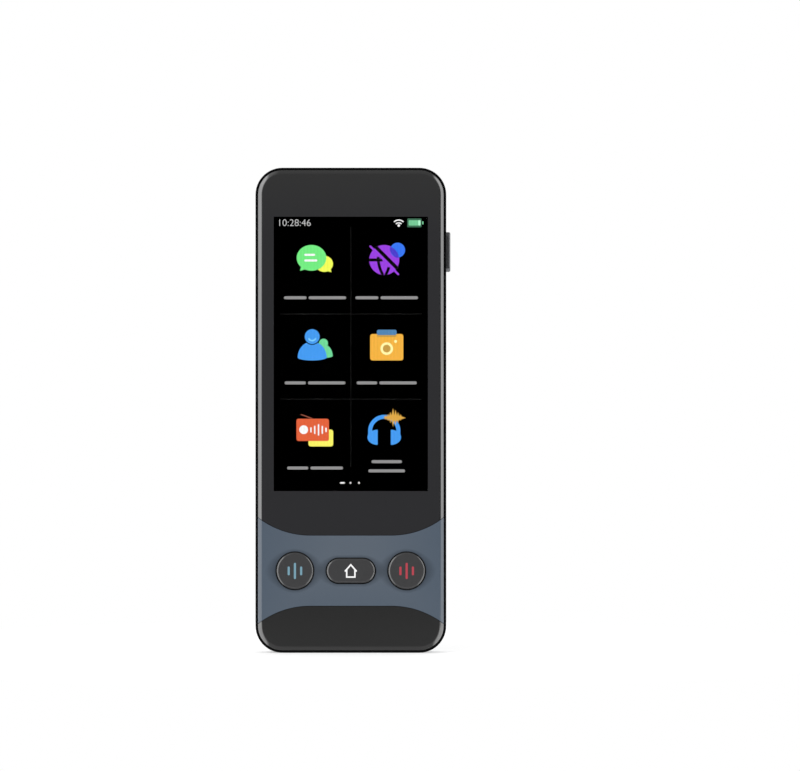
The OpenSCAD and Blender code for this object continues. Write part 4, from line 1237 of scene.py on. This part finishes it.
def add_camera(studio):
    """A camera that looks straight at the face."""
    level = -front_of("cover_lens") - studio.distance
    bpy.ops.object.camera_add(location=(studio.view_x, level, studio.view_z), rotation=(math.pi / 2, 0, 0))
    camera = bpy.context.active_object
    camera.data.lens = camera.data.sensor_width * studio.distance / studio.view_wide
    camera.data.clip_start, camera.data.clip_end = 0.01, 10
    return camera


class TRANSLATOR_OT_set_stage(bpy.types.Operator):
    """Set up the floor, the backdrop, the lamps and the camera"""

    bl_idname = "translator.set_stage"
    bl_label = "Set stage"

    def execute(self, context):
        studio = context.scene.translator_studio
        clear_selection()
        context.scene.world = studio_world(studio)
        context.scene.view_settings.view_transform = "Standard"
        add_floor(studio.floor_radius)
        add_lamp("Key lamp", (-0.7, -0.95, 0.75), studio.key_lamp, 0.6)
        add_lamp("Fill lamp", (0.9, -0.9, 0.35), studio.fill_lamp, 0.7)
        add_lamp("Top lamp", (0.1, 0.5, 1.1), studio.top_lamp, 0.7)
        context.scene.camera = add_camera(studio)
        return FINISHED


# ---------- add-on


OPERATORS = (
    TRANSLATOR_OT_dress_casing,
    TRANSLATOR_OT_dress_face,
    TRANSLATOR_OT_dress_inside,
    TRANSLATOR_OT_build_face_keys,
    TRANSLATOR_OT_build_side_key,
    TRANSLATOR_OT_light_picture,
    TRANSLATOR_OT_build_camera_lens,
    TRANSLATOR_OT_build_port_contacts,
    TRANSLATOR_OT_set_stage,
)
SETTINGS = {
    "translator_colours": CasingColours,
    "translator_keys": KeySizes,
    "translator_picture": PictureLayout,
    "translator_studio": StudioSettings,
}


class TRANSLATOR_PT_builder(bpy.types.Panel):
    """Lists the steps that dress and build the translator, and their settings"""

    bl_idname = "TRANSLATOR_PT_builder"
    bl_label = "Handheld translator"
    bl_space_type = "VIEW_3D"
    bl_region_type = "UI"
    bl_category = "Translator"

    def draw(self, context):
        for step in OPERATORS:
            self.layout.operator(step.bl_idname)
        for name in SETTINGS:
            group = getattr(context.scene, name)
            box = self.layout.box()
            for setting in group.bl_rna.properties:
                if setting.identifier not in ("rna_type", "name"):
                    box.prop(group, setting.identifier)


def register():
    for each in (*SETTINGS.values(), *OPERATORS, TRANSLATOR_PT_builder):
        bpy.utils.register_class(each)
    for name, group in SETTINGS.items():
        setattr(bpy.types.Scene, name, bpy.props.PointerProperty(type=group))


def unregister():
    for name in SETTINGS:
        delattr(bpy.types.Scene, name)
    for each in (TRANSLATOR_PT_builder, *reversed(OPERATORS), *SETTINGS.values()):
        bpy.utils.unregister_class(each)


def main():
    register()
    clear_selection()
    bpy.ops.translator.dress_casing()
    bpy.ops.translator.dress_face()
    bpy.ops.translator.dress_inside()
    bpy.ops.translator.build_face_keys()
    bpy.ops.translator.build_side_key()
    bpy.ops.translator.light_picture()
    bpy.ops.translator.build_camera_lens()
    bpy.ops.translator.build_port_contacts()
    bpy.ops.translator.set_stage()
    clear_selection()


if __name__ == "__main__":
    main()
